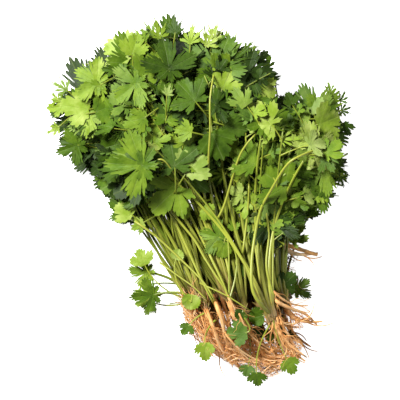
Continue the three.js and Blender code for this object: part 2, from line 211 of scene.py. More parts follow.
# Leaves that stand out on top: where each blade starts, its heading in degrees, its length, outline and tint
TOP_LEAVES = [
    (-60, 128, 152, 28, "fan", 0.82), (-61, 128, 78, 20, "fan", 0.74), (-54, 106, 215, 28, "hand", 0.62),
    (-48, 106, 66, 27, "fan", 0.62), (-27, 113, 100, 31, "hand", 0.4), (-90, 104, 150, 26, "hand", 0.74),
    (-88, 104, 226, 22, "cleft", 0.7), (-96, 76, 206, 25, "hand", 0.76), (-95, 78, 22, 20, "fan", 0.55),
    (-98, 81, 172, 25, "fan", 0.8), (-108, 50, 200, 21, "hand", 0.5), (-47, 74, 200, 18, "cleft", 0.62),
    (-47, 52, 8, 14, "round", 0.86), (-3, 86, 132, 24, "lobed", 0.42), (-122, 84, 184, 15, "cleft", 0.8),
    (-118, 98, 150, 17, "feathery", 0.66), (39, 115, 128, 26, "fan", 0.44), (39, 114, 8, 27, "hand", 0.26),
    (54, 104, -35, 16, "fan", 0.8), (32, 106, -22, 22, "cleft", 0.45), (19, 97, 64, 22, "cleft", 0.78),
    (13, 115, 45, 18, "fan", 0.62), (12, 115, 216, 17, "cleft", 0.5), (11, 84, 10, 22, "hand", 0.34),
    (20, 67, -15, 20, "fan", 0.5), (10, 62, -68, 26, "fan", 0.4), (-30, 92, 70, 11, "feathery", 0.86),
    (-52, 66, 132, 17, "fan", 0.62), (-6, 60, 168, 17, "cleft", 0.7), (103, 76, 112, 19, "fan", 0.74),
    (106, 78, 62, 21, "hand", 0.6), (99, 72, 168, 18, "fan", 0.7), (104, 67, 22, 24, "fan", 0.78),
    (81, 61, 140, 18, "cleft", 0.5), (114, 31, 215, 30, "hand", 0.66), (120, 32, -34, 15, "feathery", 0.4),
    (126, 22, -70, 12, "feathery", 0.4), (126, 80, 20, 12, "feathery", 0.34),
    (128, 70, -62, 14, "cleft", 0.3), (69, -25, 36, 26, "hand", 0.26), (61, -19, -60, 26, "hand", 0.22),
    (58, -17, 28, 20, "fan", 0.68), (112, 10, 216, 24, "hand", 0.5), (-36, 143, 100, 18, "feathery", 0.72),
    (-48, 140, 132, 16, "feathery", 0.66), (-9, 138, 84, 20, "feathery", 0.8),
    (5, 136, 66, 20, "feathery", 0.84), (27, 134, 96, 18, "feathery", 0.78),
    (38, 134, 12, 15, "feathery", 0.6), (50, 124, 40, 14, "cleft", 0.3),
    (-22, 148, 96, 17, "feathery", 0.34), (12, 142, 80, 17, "feathery", 0.84),
    (-40, 148, 160, 17, "feathery", 0.6), (-60, 134, 120, 14, "feathery", 0.66),
    (46, 126, 72, 14, "feathery", 0.66), (-126, 88, 130, 12, "feathery", 0.7),
    (-126, 66, 205, 13, "feathery", 0.8), (60, 106, 20, 13, "feathery", 0.4),
    (126, 88, 60, 12, "feathery", 0.4), (118, 96, 100, 12, "feathery", 0.6),
]
# Leaves among the stalks and roots, with their own share of the heap's height after the tint
LOW_LEAVES = [
    (-47, 31, 180, 36, "hand", 0.62, 1.2), (-22, 27, 100, 28, "lobed", 0.4, 1.06),
    (-14, 22, 50, 26, "fan", 0.8, 1.06), (-52, 0, 138, 19, "hand", 0.5, 0.9),
    (-60, -14, 150, 18, "fan", 0.84, 0.9), (-50, -20, 205, 13, "cleft", 0.76, 0.86),
    (-9, -3, 205, 17, "fan", 0.8, 0.9), (2, -7, -40, 13, "fan", 0.76, 0.88),
    (19, -34, 165, 20, "hand", 0.6, 0.92), (22, -37, 258, 14, "round", 0.72, 0.92),
    (-50, -60, 112, 16, "fan", 0.78, 0.3), (-22, -54, 70, 9, "round", 0.8, 0.9),
    (-46, -92, 150, 15, "fan", 0.76, 0.3), (-44, -92, 245, 13, "cleft", 0.7, 0.2),
    (-7, -85, -100, 13, "round", 0.8, 0.9), (-9, -112, -125, 11, "fan", 0.5, 0.9),
    (4, -128, -88, 15, "fan", 0.78, 0.95), (43, -119, 184, 18, "fan", 0.54, 0.98),
    (44, -149, -104, 11, "fan", 0.5, 0.8), (51, -155, -84, 13, "fan", 0.46, 0.95),
    (78, -143, -62, 14, "fan", 0.6, 1.0), (63, -116, -40, 17, "fan", 0.34, 0.5),
    (58, -114, 205, 15, "fan", 0.26, 0.5), (58, -104, 190, 13, "round", 0.46, 0.8),
    (39, -99, 240, 9, "round", 0.4, 0.9), (77, -122, -70, 13, "lobed", 0.16, 0.4),
    (72, -80, 40, 17, "fan", 0.3, 0.6), (60, -88, 98, 13, "round", 0.44, 0.7),
    (33, -70, 88, 12, "round", 0.4, 0.6), (31, -28, 100, 10, "cleft", 0.6, 0.8),
    (44, -30, 60, 9, "cleft", 0.66, 0.8), (40, -8, 120, 11, "fan", 0.6, 0.8),
    (52, -44, 80, 9, "round", 0.6, 0.8), (48, 8, 70, 11, "cleft", 0.64, 0.84),
    (26, -92, 100, 12, "round", 0.3, 0.5), (22, -84, 80, 11, "fan", 0.3, 0.5),
]
# The leaves on top start at this share of the heap's height. A hold is the ranges of pitch and roll in
# degrees, and of arch and fold as in a blade's surface, first on top and then lower down.
TOP_LIE = 0.86
TOP_HOLD = [(-16, 8), (-18, 18), (0.06, 0.26), (0.0, 0.2)]
LOW_HOLD = [(-10, 6), (-14, 14), (0.04, 0.2), (0.0, 0.18)]
# The stalk of a low leaf comes from the nearest crown if that is within this distance
LONG_STALK_REACH = 62
# Stalks that stand out on top, as their radius, share of the heap's height and the points that they pass
TOP_STALKS = [
    (1.6, 1.16, [
        (66, -105), (54, -93), (47, -80), (46, -61), (48, -40), (54, -10), (63, 8), (77, 31), (91, 40),
        (112, 48),
    ]),
    (1.1, 0.97, [(7, 20), (8, 44), (9, 62), (9, 90), (13, 116)]),
    (1.2, 0.97, [(14, -20), (22, -4), (33, 33), (41, 49), (53, 62)]),
    (1.3, 0.97, [(-50, 7), (-33, 1), (-22, -15), (-5, -36), (4, -52), (17, -72), (30, -90)]),
    (1.1, 0.97, [(-64, -16), (-42, -31), (-19, -52), (4, -75), (15, -94)]),
    (0.8, 0.95, [(-36, -57), (-19, -69), (-5, -79), (8, -92)]),
    (1.4, 0.94, [(-33, 2), (-19, -27), (-5, -58), (4, -77), (14, -96)]),
    (1.3, 0.94, [(6, -44), (20, -73), (27, -92)]), (1.2, 0.95, [(38, -52), (43, -10), (44, 16)]),
    (1.3, 0.95, [(70, -98), (60, -62), (62, -30), (58, 0)]),
    (0.9, 1.05, [(-44, 33), (-34, 36), (-26, 28), (-18, 14)]),
    (0.8, 0.97, [(0, -75), (24, -86), (46, -100)]),
]
# Roots that show, as their upper radius, share of the heap's height and the points that they pass
SHOWN_ROOTS = [
    (2.4, 1.0, [(15, -95), (20, -109), (23, -124), (27, -133), (34, -141)]),
    (2.1, 1.0, [(8, -104), (14, -120), (17, -129), (22, -139), (28, -144)]),
    (0.8, 1.0, [(2, -107), (7, -123), (14, -133), (24, -142)]),
    (0.8, 1.0, [(5, -102), (11, -112), (17, -118), (21, -127), (31, -138)]),
    (1.5, 1.0, [(25, -86), (32, -100), (35, -115), (42, -128)]),
    (2.2, 1.0, [(69, -106), (74, -129), (82, -140), (90, -148)]),
    (1.7, 1.0, [(73, -110), (82, -126), (88, -136), (97, -143)]),
    (1.5, 1.0, [(66, -82), (77, -91), (87, -95), (98, -96)]),
    (2.3, 1.0, [(69, -91), (82, -98), (95, -103), (106, -113)]),
    (1.0, 1.0, [(70, -103), (78, -112), (94, -109), (101, -103), (104, -94)]),
    (1.2, 1.0, [(36, -104), (46, -122), (62, -134), (78, -138)]),
    (1.2, 1.0, [(24, -122), (40, -138), (60, -148), (82, -150)]),
    (2.4, 0.6, [(20, -88), (25, -106), (30, -124), (42, -136)]),
    (2.2, 0.5, [(16, -90), (22, -108), (30, -120), (48, -130)]),
    (2.4, 0.4, [(27, -92), (30, -108), (40, -122), (58, -134)]),
    (2.2, 0.5, [(44, -96), (50, -110), (54, -126), (66, -138)]),
    (1.6, 0.7, [(30, -128), (42, -132), (56, -136), (74, -134)]),
    (1.4, 0.6, [(26, -132), (44, -140), (62, -142), (80, -144)]),
]
# How far up the bunch a shown root starts, and how deep under the crowns
SHOWN_ROOT_HIDDEN = 9
SHOWN_ROOT_DEPTH = 22
SHOWN_ROOT_STEPS = 40
SHOWN_ROOT_SIDES = 10
SHOWN_ROOT_HAIRS = 10
# The felt of fine roots along the lower left of the crowns, and the loose tangle at the right
FELT_PATH = np.array([(-10, -90), (-4, -108), (11, -126), (36, -139), (62, -148), (84, -142)], float)
FELT_HALF_WIDTH = 14
TANGLE_PATH = np.array([(81, -46), (80, -56), (78, -68), (80, -82)], float)
TANGLE_HAIRS = 50
# Long fine roots that trail from the tangle: where they start, and each one's heading and length
TRAILING_START = (80, -60, 3.0)
TRAILING_ROOTS = [(-30, 44), (-60, 50), (-78, 34)]
# The bare root that sticks out at the right: where it starts, is pulled and ends, and its radius
BARE_ROOT = [(66, -36), (84, -43), (107, -50)]
BARE_ROOT_RADIUS = 2.4

# Each surface's colours, from dark to light on leaves and bark and from crown to tip on stalks, and the
# sizes of its patches and grain in millimetres
# The near-black ends of the warm and cool leaf colours are painted shade, for leaves that lie deep in the heap
WARM_LEAF = [(0.0, "#0E1804"), (0.28, "#283E0A"), (0.52, "#4C6914"), (0.78, "#7A9228"), (1.0, "#B4C06A")]
COOL_LEAF = [(0.0, "#10190A"), (0.28, "#2A3E12"), (0.52, "#4E6A28"), (0.78, "#788E44"), (1.0, "#A8B874")]
LEAF_BELOW = [(0.0, "#3C4A1E"), (0.6, "#748446"), (1.0, "#A8AE72")]
LEAF_VEIN = "#C2CC8A"
PALE_STALK = [(0.0, "#9A8050"), (0.07, "#887E36"), (0.16, "#A4A646"), (0.5, "#A0A83A"), (1.0, "#8E9C32")]
# A darker copy of the stalk colours for stalks deep in the heap: painted shade
SHADED_STALK = [(0.0, "#5A4426"), (0.07, "#4A4618"), (0.16, "#585F18"), (0.5, "#4C5E14"), (1.0, "#405612")]
ROOT_BARK = [(0.0, "#583616"), (0.35, "#AC7236"), (0.65, "#EAAE68"), (1.0, "#F8D6A4")]
LEAF_PATCH = 12
LEAF_QUILT = 3.2
STALK_PATCH = 16
STALK_GRAIN = 1.5
ROOT_PATCH = 7
ROOT_GRAIN = 1.2

# The stage, in metres and watts: each light's name, place, size and power
LIGHTS = [("key", (-1.0, 0.8, 1.3), 0.5, 79), ("fill", (1.3, -0.4, 1.2), 1.2, 9)]
WORLD_STRENGTH = 0.03
FLOOR_REACH = 4.0


class LyingCurve:
    """A quadratic curve seen from above, whose height is a fixed share of the heap's height below it."""

    def __init__(self, start, pull, end, lie):
        self.start, self.pull, self.end = (np.array(v, float)[:2] for v in (start, pull, end))
        self.lie = lie

    def points(self, share):
        """The bowed line in plan, at the plant's share of the heap's height."""
        plan = bowed(self.start, self.pull, self.end, share)
        height = self.lie * heap_height(plan[..., 0], plan[..., 1])
        return np.concatenate([plan, height[..., None]], -1)

    def frames(self, share):
        """Points, and at each the direction ahead and the two directions square to it."""
        t = np.asarray(share, float)
        step = 0.02
        ahead = unit(self.points(np.minimum(t + step, 1)) - self.points(np.maximum(t - step, 0)))
        side = unit(np.cross(ahead, UP))
        return self.points(t), ahead, side, np.cross(side, ahead)


def bowed(start, pull, end, share):
    """(1-t)^2 start + 2t(1-t) pull + t^2 end."""
    t = np.asarray(share, float)[..., None]
    return (1 - t) ** 2 * start + 2 * t * (1 - t) * pull + t**2 * end


def through(points, steps):
    """A smooth line through points: on each stretch the cubic that runs on along its neighbours."""
    knots = np.array([points[0], *points, points[-1]], float)
    at = np.linspace(0, len(points) - 1, steps)
    first = np.minimum(at.astype(int), len(points) - 2)
    t = (at - first)[:, None]
    before, start, end, after = (knots[first + offset] for offset in range(4))
    leaving, coming = (end - before) / 2, (after - start) / 2
    bend = t * (1 - t) * ((1 - t) * (leaving - (end - start)) + t * ((end - start) - coming))
    return start + t * (end - start) + bend


def unit(vectors):
    return vectors / np.linalg.norm(vectors, axis=-1, keepdims=True)


def mix(number):
    """Mixes the bits of a whole number of 32 bits."""
    mask = 0xFFFFFFFF
    for _ in range(2):
        number = ((number ^ (number >> 16)) * 0x45D9F3B) & mask
    return number ^ (number >> 16)


def draw(*keys):
    """A number from -1 to 1 that depends only on the seed and the whole numbers given."""
    number = SEED
    for key in keys:
        number = mix(number ^ (((key + 1) * 0x9E3779B1) & 0xFFFFFFFF))
    return mix(number) / 2**31 - 1


def heap_height(x, y):
    """A base height plus round mounds that fall off as exp(-(distance / reach)^2)."""
    mounds = [
        height * np.exp(-(((x - mid_x) / reach_x) ** 2) - ((y - mid_y) / reach_y) ** 2)
        for mid_x, mid_y, reach_x, reach_y, height in HEAP_MOUNDS
    ]
    return HEAP_BASE + sum(mounds)


def on_heap(spot, lie):
    """The point over a spot of the plan at that share of the heap's height."""
    return np.array([*spot, lie * heap_height(*spot)])


def raised(points, least):
    """The points, none lower than that."""
    return np.column_stack([points[:, :2], np.maximum(points[:, 2], least)])


def chance_of(kind, plant=0):
    """The random numbers of a kind of piece, which start anew at each plant."""
    return np.random.default_rng(SEEDS[kind] + plant)


def heading_vector(degrees):
    angle = math.radians(degrees)
    return np.array([math.cos(angle), math.sin(angle), 0.0])


def heading_of(vector):
    return math.degrees(math.atan2(vector[1], vector[0]))


def stalk_curve(plant, stalk, attempt):
    lie, crown, _, tips = PLANTS[plant]
    rank = stalk - (len(tips) - 1) / 2
    start = np.array(crown) + STALK_START * heading_vector(BUNDLE_HEADING)[:2]
    start[0] += STALK_PITCH * rank
    end = np.array(tips[stalk][:2], float)
    leaving = heading_vector(BUNDLE_HEADING - STALK_FAN * rank)[:2]
    pull = start + leaving * CROWN_PULL * np.linalg.norm(end - start)
    pull[0] += attempt * 1.5 * draw(plant, stalk, attempt, 0)
    return LyingCurve(start, pull, end, lie + attempt * 0.004 * draw(plant, stalk, attempt, 1))


def stalk_length(plant, stalk):
    _, crown, _, tips = PLANTS[plant]
    return math.dist(tips[stalk][:2], crown)


def blade_places(plant, stalk):
    """Share of the stalk at which each blade sits, and its side: 0 is the end, 1 is left and -1 is right."""
    length = stalk_length(plant, stalk)
    pairs = [below for below, least in zip(PAIR_SPACING, PAIR_STALKS) if length > least]
    return [(1.0, 0)] + [(1 - below / length, side) for below in pairs for side in (1, -1)]


def blade_pose(plant, stalk, blade, attempt, curve):
    """Where a blade grows and how it is held, by the same rule as in the solids."""
    share, side = blade_places(plant, stalk)[blade]

    def drawn(key):
        return draw(plant, stalk, blade, attempt, key)

    point, ahead, _, _ = curve.frames(share)
    if side:
        turn = side * (68 + 16 * drawn(0))
    else:
        turn = (PLANTS[plant][3][stalk][2] or 0) + (8 + attempt) * drawn(0)
    grown = min(1, YOUNG_LEAF + stalk_length(plant, stalk) / GROWN_STALK)
    size = (SIDE_LEAFLET if side else END_LEAF) * (1 + 0.16 * drawn(3) - 0.012 * attempt)
    return held_blade(
        base=point - (0 if side else STALK_SINK) * ahead,
        heading=heading_of(ahead) + turn,
        pitch=-6 + (14 + 1.5 * attempt) * drawn(1),
        roll=(18 + 1.5 * attempt) * drawn(2),
        length=grown * size,
        arch=0.1 + 0.14 * drawn(4),
        fold=0.12 + 0.16 * drawn(5),
    )


def held_blade(base, heading, pitch, roll, length, arch, fold):
    """A blade's base, its three directions and its size and bend, from angles in degrees."""
    pitch, roll = math.radians(pitch), math.radians(roll)
    level = heading_vector(heading)
    ahead = level * math.cos(pitch) + UP * math.sin(pitch)
    flat_side = np.cross(UP, level)
    flat_normal = np.cross(ahead, flat_side)
    return {
        "base": np.array(base, float),
        "ahead": ahead,
        "side": flat_side * math.cos(roll) + flat_normal * math.sin(roll),
        "normal": flat_normal * math.cos(roll) - flat_side * math.sin(roll),
        "length": length,
        "arch": arch,
        "fold": fold,
    }


def blade_surface(pose, x, y, lowest):
    """base + L(x ahead + y side + (fold |y| - arch x^2) normal), kept above the surface it lies on."""
    rise = pose["fold"] * np.abs(y) - pose["arch"] * x**2
    spots = pose["base"] + pose["length"] * (
        x[..., None] * pose["ahead"] + y[..., None] * pose["side"] + rise[..., None] * pose["normal"]
    )
    spots[..., 2] = np.maximum(spots[..., 2], lowest)
    return spots


def node_corners(name):
    """The corners of a CAD node, in the drawing's millimetres."""
    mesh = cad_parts[name].data
    flat = np.zeros(3 * len(mesh.vertices), np.float32)
    mesh.vertices.foreach_get("co", flat)
    return flat.reshape(-1, 3) * 1000.0 + FOOTPRINT_CENTRE


def share_found(wanted, corners):
    """The share of the wanted points that are corners of the CAD node."""
    gaps = np.linalg.norm(wanted[:, None] - corners[None], axis=-1).min(1)
    return float(np.mean(gaps < MATCH_REACH))


def best_try(candidates, corners, least):
    """The first number whose points are found best among the corners, or None if too few are found."""
    shares = [share_found(points, corners) for points in candidates]
    best = int(np.argmax(shares))
    return best if shares[best] >= least else None


def solid_rings(curve, shares, radii, sides):
    """The corners of a rod's rings as the solids have them: radius * (sin a side + cos a over)."""
    point, _, side, over = curve.frames(np.asarray(shares, float))
    angle = 2 * np.pi * np.arange(sides) / sides
    ring = np.sin(angle)[None, :, None] * side[:, None] + np.cos(angle)[None, :, None] * over[:, None]
    return (point[:, None] + np.asarray(radii)[:, None, None] * ring).reshape(-1, 3)


def solid_rim(pose, edge):
    """The upper corners of a blade's edge as the solids have them."""
    half = [(math.radians(a), r) for a, r in edge]
    both = [(-a, r) for a, r in half[:0:-1]] + half
    x = NECK_SHARE + np.array([r * math.cos(a) for a, r in both])
    y = np.array([r * math.sin(a) for a, r in both])
    spots = blade_surface(pose, x, y, SOLID_BLADE_HALF)
    return spots + SOLID_BLADE_HALF * pose["normal"]


def placed_stalk(plant, stalk, corners):
    """The curve of a stalk as it is in the CAD."""
    shares = np.arange(1, SOLID_STALK_STEPS) / SOLID_STALK_STEPS
    radii = STALK_RADIUS + (STALK_TIP_RADIUS - STALK_RADIUS) * shares
    curves = [stalk_curve(plant, stalk, attempt) for attempt in range(TRIES)]
    rings = [solid_rings(curve, shares, radii, SOLID_STALK_SIDES) for curve in curves]
    found = best_try(rings, corners, 0.4)
    if found is None:
        raise RuntimeError(f"stalk {stalk} of plant {plant + 1} isn't in the CAD")
    return curves[found]


def placed_blade(plant, stalk, blade, curve, corners):
    """The pose of a blade as it is in the CAD, or None where the solids leave it off."""
    edge = SIDE_EDGE if blade else END_EDGE
    poses = [blade_pose(plant, stalk, blade, attempt, curve) for attempt in range(TRIES)]
    found = best_try([solid_rim(pose, edge) for pose in poses], corners, 0.6)
    return None if found is None else poses[found]


@functools.cache
def placed_stalks(plant):
    """A plant's stalks as they are in the CAD: each one's number, its curve and the poses of its blades."""
    corners = node_corners(f"shoot_{plant + 1:02d}")
    stalks = []
    for stalk in range(len(PLANTS[plant][3])):
        curve = placed_stalk(plant, stalk, corners)
        count = len(blade_places(plant, stalk))
        poses = [placed_blade(plant, stalk, blade, curve, corners) for blade in range(count)]
        stalks.append((stalk, curve, poses))
    return stalks


@functools.cache
def thin_stalks(plant, count):
    """Thin stalks between a plant's own: from its crown to points near its tips, each bowed to one side."""
    lie, crown, _, tips = PLANTS[plant]
    chance = chance_of("thin stalks", plant)
    curves = []
    for number in range(count):
        tip = np.array(tips[number % len(tips)][:2]) + chance.uniform(-26, 26, 2)
        start = np.array(crown) + chance.uniform(-4, 4, 2)
        leaving = heading_vector(BUNDLE_HEADING + chance.uniform(-20, 16))[:2]
        pull = start + CROWN_PULL * np.linalg.norm(tip - start) * leaving
        curves.append(LyingCurve(start, pull, tip, lie + chance.uniform(-0.04, 0.07)))
    return curves


@functools.cache
def bed_stalks(count):
    """Stalks in the depth of the bundle: from a crown up the bunch, a little across its neighbours."""
    chance = chance_of("bed lines")
    feet = [crown for _, crown, _, _ in PLANTS] + BED_FEET
    curves = []
    for number in range(count):
        start = np.array(feet[number % len(feet)]) + chance.uniform(-6, 6, 2) + (0, 4)
        reach = chance.uniform(110, 150)
        end = start + reach * heading_vector(BUNDLE_HEADING + chance.uniform(-24, 20))[:2]
        pull = (start + end) / 2 + chance.uniform(-9, 9, 2)
        curves.append(LyingCurve(start, pull, end, chance.uniform(0.05, 0.6)))
    return curves


VALUE_NAMES = ("tint", "hue", "under", "vein", "along")


class Sheaf:
    """Vertices, faces and values of many surfaces, gathered for one mesh."""

    def __init__(self):
        self.spots, self.quads, self.tris, self.values = [], [], [], {}
        self.count = 0

    def add(self, spots, quads, tris, **values):
        spots = spots.reshape(-1, 3)
        self.quads.append(quads.reshape(-1, 4) + self.count)
        self.tris.append(tris.reshape(-1, 3) + self.count)
        self.spots.append(spots)
        for name in VALUE_NAMES:
            value = np.broadcast_to(np.asarray(values.get(name, 0.0), float), (len(spots),))
            self.values.setdefault(name, []).append(value)
        self.count += len(spots)

    def mesh(self, name):
        """One mesh in metres in the row frame, with the values as attributes of its points."""
        spots = (np.concatenate(self.spots) - FOOTPRINT_CENTRE) * 0.001
        quads, tris = np.concatenate(self.quads), np.concatenate(self.tris)
        corners = np.concatenate([quads.ravel(), tris.ravel()])
        totals = np.concatenate([np.full(len(quads), 4), np.full(len(tris), 3)])
        mesh = bpy.data.meshes.new(name)
        mesh.vertices.add(len(spots))
        mesh.vertices.foreach_set("co", spots.astype(np.float32).ravel())
        mesh.loops.add(len(corners))
        mesh.loops.foreach_set("vertex_index", corners.astype(np.int32))
        mesh.polygons.add(len(totals))
        mesh.polygons.foreach_set("loop_start", (np.cumsum(totals) - totals).astype(np.int32))
        mesh.polygons.foreach_set("use_smooth", np.ones(len(totals), bool))
        for value_name, parts in self.values.items():
            attribute = mesh.attributes.new(value_name, "FLOAT", "POINT")
            attribute.data.foreach_set("value", np.concatenate(parts).astype(np.float32))
        mesh.update(calc_edges=True)
        mesh.validate()
        mesh.set_sharp_from_angle(angle=math.radians(50))
        return mesh


def grid_quads(rows, columns, flip=False):
    """Quads between neighbouring rows of a grid that closes round its columns."""
    row, column = np.meshgrid(np.arange(rows - 1), np.arange(columns), indexing="ij")
    first, second = row * columns + column, row * columns + (column + 1) % columns
    quads = np.stack([first, second, second + columns, first + columns], -1).reshape(-1, 4)
    return quads[:, ::-1] if flip else quads


def fan(first, columns, middle, flip=False):
    """Triangles from a middle point to a closed row of points."""
    column = np.arange(columns)
    tris = np.stack([np.full(columns, middle), first + column, first + (column + 1) % columns], -1)
    return tris[:, ::-1] if flip else tris


def tube(sheaf, points, radii, sides, ribs=(0, 0.0), **values):
    """A closed tube along points: radius (1 + depth cos(count a)) round each point, with both ends capped."""
    rows = len(points)
    ahead = unit(np.gradient(points, axis=0))
    side = unit(np.cross(ahead, UP + 1e-3))
    over = np.cross(side, ahead)
    angle = 2 * np.pi * np.arange(sides) / sides
    count, depth = ribs
    reach = np.asarray(radii)[:, None] * (1 + depth * np.cos(count * angle))[None]
    ring = np.sin(angle)[None, :, None] * side[:, None] + np.cos(angle)[None, :, None] * over[:, None]
    wall = (points[:, None] + reach[..., None] * ring).reshape(-1, 3)
    spots = np.concatenate([wall, points[:1], points[-1:]])
    quads = grid_quads(rows, sides)
    start_cap = fan(0, sides, rows * sides, True)
    end_cap = fan((rows - 1) * sides, sides, rows * sides + 1)
    tris = np.concatenate([start_cap, end_cap])
    along = np.concatenate([np.repeat(np.linspace(0, 1, rows), sides), [0, 1]])
    sheaf.add(spots, quads, tris, along=values.pop("along", along), **values)


def lying_tube(sheaf, curve, radii, sides, **values):
    """A tube along a whole lying curve, kept above the surface by its own radius."""
    points = curve.points(np.linspace(0, 1, len(radii)))
    tube(sheaf, raised(points, radii), radii, sides, **values)


def outline(shoulder, teeth, fine):
    """Angle, reach and vein of an edge: each tooth's tip and notch, with a shoulder between if it is fine.

    A shoulder keeps a share of the tooth's height above the notch: a large share makes the tooth round.
    """
    rows = []
    for (angle, tip, notch, vein), (next_angle, next_tip, _, next_vein) in zip(teeth, teeth[1:]):
        valley = (angle + next_angle) / 2
        rows.append((angle, tip, vein))
        if fine:
            rows.append((angle * 0.45 + valley * 0.55, notch + (tip - notch) * shoulder, vein * 0.45))
        rows.append((valley, notch, 0.0))
        if fine:
            rise = notch + (next_tip - notch) * shoulder
            rows.append((next_angle * 0.45 + valley * 0.55, rise, next_vein * 0.45))
    rows.append((teeth[-1][0], teeth[-1][1], 0.0))
    half = np.array(rows)
    other = half[:0:-1] * (-1, 1, 1)
    angles, reaches, veins = np.concatenate([other, half]).T
    return np.radians(angles), reaches, veins


FINE_RINGS = np.array([0.38, 0.72, 1.0])
PLAIN_RINGS = np.array([0.5, 1.0])
OUTLINES = {(kind, fine): outline(*TEETH[kind], fine) for kind in TEETH for fine in (True, False)}


def add_blade(sheaf, pose, kind, chance, tint, fine=True, ruffle=LOOSE_RUFFLE):
    """A thin closed leaf: rows out from the middle of its lobes to its toothed edge, on two faces.

    Its surface is the solid's folded and arched one, plus two ruffles that grow as the square of the way out
    and a shallow valley along each vein.
    """
    angles, reaches, veins = OUTLINES[kind, fine]
    out = FINE_RINGS if fine else PLAIN_RINGS
    swing = chance.uniform(-1, 1, 10)
    bent = angles + 0.08 * swing[0] * np.sin(2 * angles + 3 * swing[1]) + 0.04 * swing[2] * np.sin(5 * angles)
    uneven = 1 + 0.1 * swing[3] * np.sin(3 * angles + 3 * swing[4])
    uneven += 0.04 * chance.uniform(-1, 1, len(angles))
    across = out[:, None] * (reaches * uneven)[None]
    x = NECK_SHARE + across * np.cos(bent)[None]
    y = across * np.sin(bent)[None]
    half = BLADE_THICKNESS / 2
    spots = blade_surface(pose, x, y, half)
    waves = np.sin((3 + swing[5]) * bent + 3 * swing[6])
    waves += 0.35 * np.sin((9 + 2 * swing[7]) * bent + 3 * swing[8])
    bumps = ruffle * across**2 * waves[None] - 0.003 * veins[None] * np.sin(np.pi * out)[:, None]
    spots = spots + pose["length"] * bumps[..., None] * pose["normal"]
    heart = blade_surface(pose, np.array([NECK_SHARE]), np.array([0.0]), half)
    middle = np.concatenate([spots.reshape(-1, 3), heart])
    rows, columns = len(out), len(angles)
    face = rows * columns + 1
    low = middle - half * pose["normal"]
    low[:, 2] = np.maximum(low[:, 2], 0.02)
    high = low + 2 * half * pose["normal"]
    quads = grid_quads(rows, columns, flip=True)
    tris = fan(0, columns, face - 1)
    rim_row = (rows - 1) * columns + np.arange(columns)
    rim_next = (rows - 1) * columns + (np.arange(columns) + 1) % columns
    rim = np.stack([rim_row + face, rim_next + face, rim_next, rim_row], -1)
    sheaf.add(
        np.concatenate([high, low]),
        np.concatenate([quads, quads[:, ::-1] + face, rim]),
        np.concatenate([tris, tris[:, ::-1] + face]),
        tint=np.clip(tint, 0, 1),
        hue=chance.uniform(0, 1) ** 1.6,
        under=np.repeat([0.0, 1.0], face),
        vein=np.tile(np.append(np.tile(veins, rows), 1.0), 2),
    )


def add_hand(sheaf, pose, chance, tint):
    """A leaf cut into leaflets that meet at its neck: each is the leaf's pose turned about its normal.

    A turned leaflet rises as fold |sin turn| and arches as arch cos^2 turn, so the leaf keeps its bend.
    """
    neck = pose["base"] + NECK_SHARE * pose["length"] * pose["ahead"]
    for turn, share, kind in HAND:
        angle = math.radians(turn + chance.uniform(-5, 5))
        level = math.cos(angle) * pose["ahead"] + math.sin(angle) * pose["side"]
        ahead = unit(level + pose["fold"] * abs(math.sin(angle)) * pose["normal"])
        side = math.cos(angle) * pose["side"] - math.sin(angle) * pose["ahead"]
        length = share * pose["length"] * chance.uniform(0.92, 1.04)
        leaflet = {
            "base": neck - NECK_SHARE * length * ahead,
            "ahead": ahead,
            "side": side,
            "normal": np.cross(ahead, side),
            "length": length,
            "arch": pose["arch"] * math.cos(angle) ** 2 + chance.uniform(0, 0.12),
            "fold": chance.uniform(-0.06, 0.24),
        }
        own = tint + chance.uniform(-0.07, 0.07)
        add_blade(sheaf, leaflet, kind, chance, own, fine=kind == "wedge")


def blade_stalk(sheaf, pose, tint):
    """The short stalk of a blade, from the stalk that bears it to the middle of its lobes."""
    share = np.linspace(-0.04, NECK_SHARE + 0.03, 5)
    points = blade_surface(pose, share, 0 * share, 0.3)
    radii = np.linspace(BLADE_STALK_RADIUS, BLADE_STALK_RADIUS * 0.6, 5)
    tube(sheaf, points, radii, 6, tint=tint, along=0.9)


def make_piece(sheaf, name, finish, node):
    """Adds a piece at the origin that rides on the body and takes its finish from a slot."""
    piece = bpy.data.objects.new(name, sheaf.mesh(name))
    bpy.context.scene.collection.objects.link(piece)
    piece.data.materials.append(material_of(finish))
    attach(piece, BODY)
    if node:
        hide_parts(node)


def linear(hex_colour):
    """An sRGB hex value as linear red, green, blue and alpha."""
    channels = [int(hex_colour[i : i + 2], 16) / 255 for i in (1, 3, 5)]
    return [c / 12.92 if c <= 0.04045 else ((c + 0.055) / 1.055) ** 2.4 for c in channels] + [1.0]


def per_metre(millimetres):
    """How many features of that size a metre holds, which is a pattern's scale."""
    return 1000 / millimetres


def add_node(tree, kind, inputs=(), stops=(), **settings):
    """A node with its settings. Each input is a socket with a value or with another node's output."""
    node = tree.nodes.new(kind)
    for key, value in settings.items():
        setattr(node, key, value)
    for socket, value in inputs:
        if isinstance(value, bpy.types.NodeSocket):
            tree.links.new(value, node.inputs[socket])
        else:
            node.inputs[socket].default_value = value
    for number, (place, colour) in enumerate(stops):
        elements = node.color_ramp.elements
        element = elements[number] if number < len(elements) else elements.new(place)
        element.position = place
        element.color = linear(colour)
    return node


def new_material(name, inputs):
    """A material with only its shader, whose constant inputs are given, and the shader's nodes."""
    material = bpy.data.materials.new(name)
    material.use_nodes = True
    tree = material.node_tree
    tree.nodes.clear()
    shader = add_node(tree, "ShaderNodeBsdfPrincipled", inputs)
    add_node(tree, "ShaderNodeOutputMaterial", [("Surface", shader.outputs[0])])
    return material, tree, shader


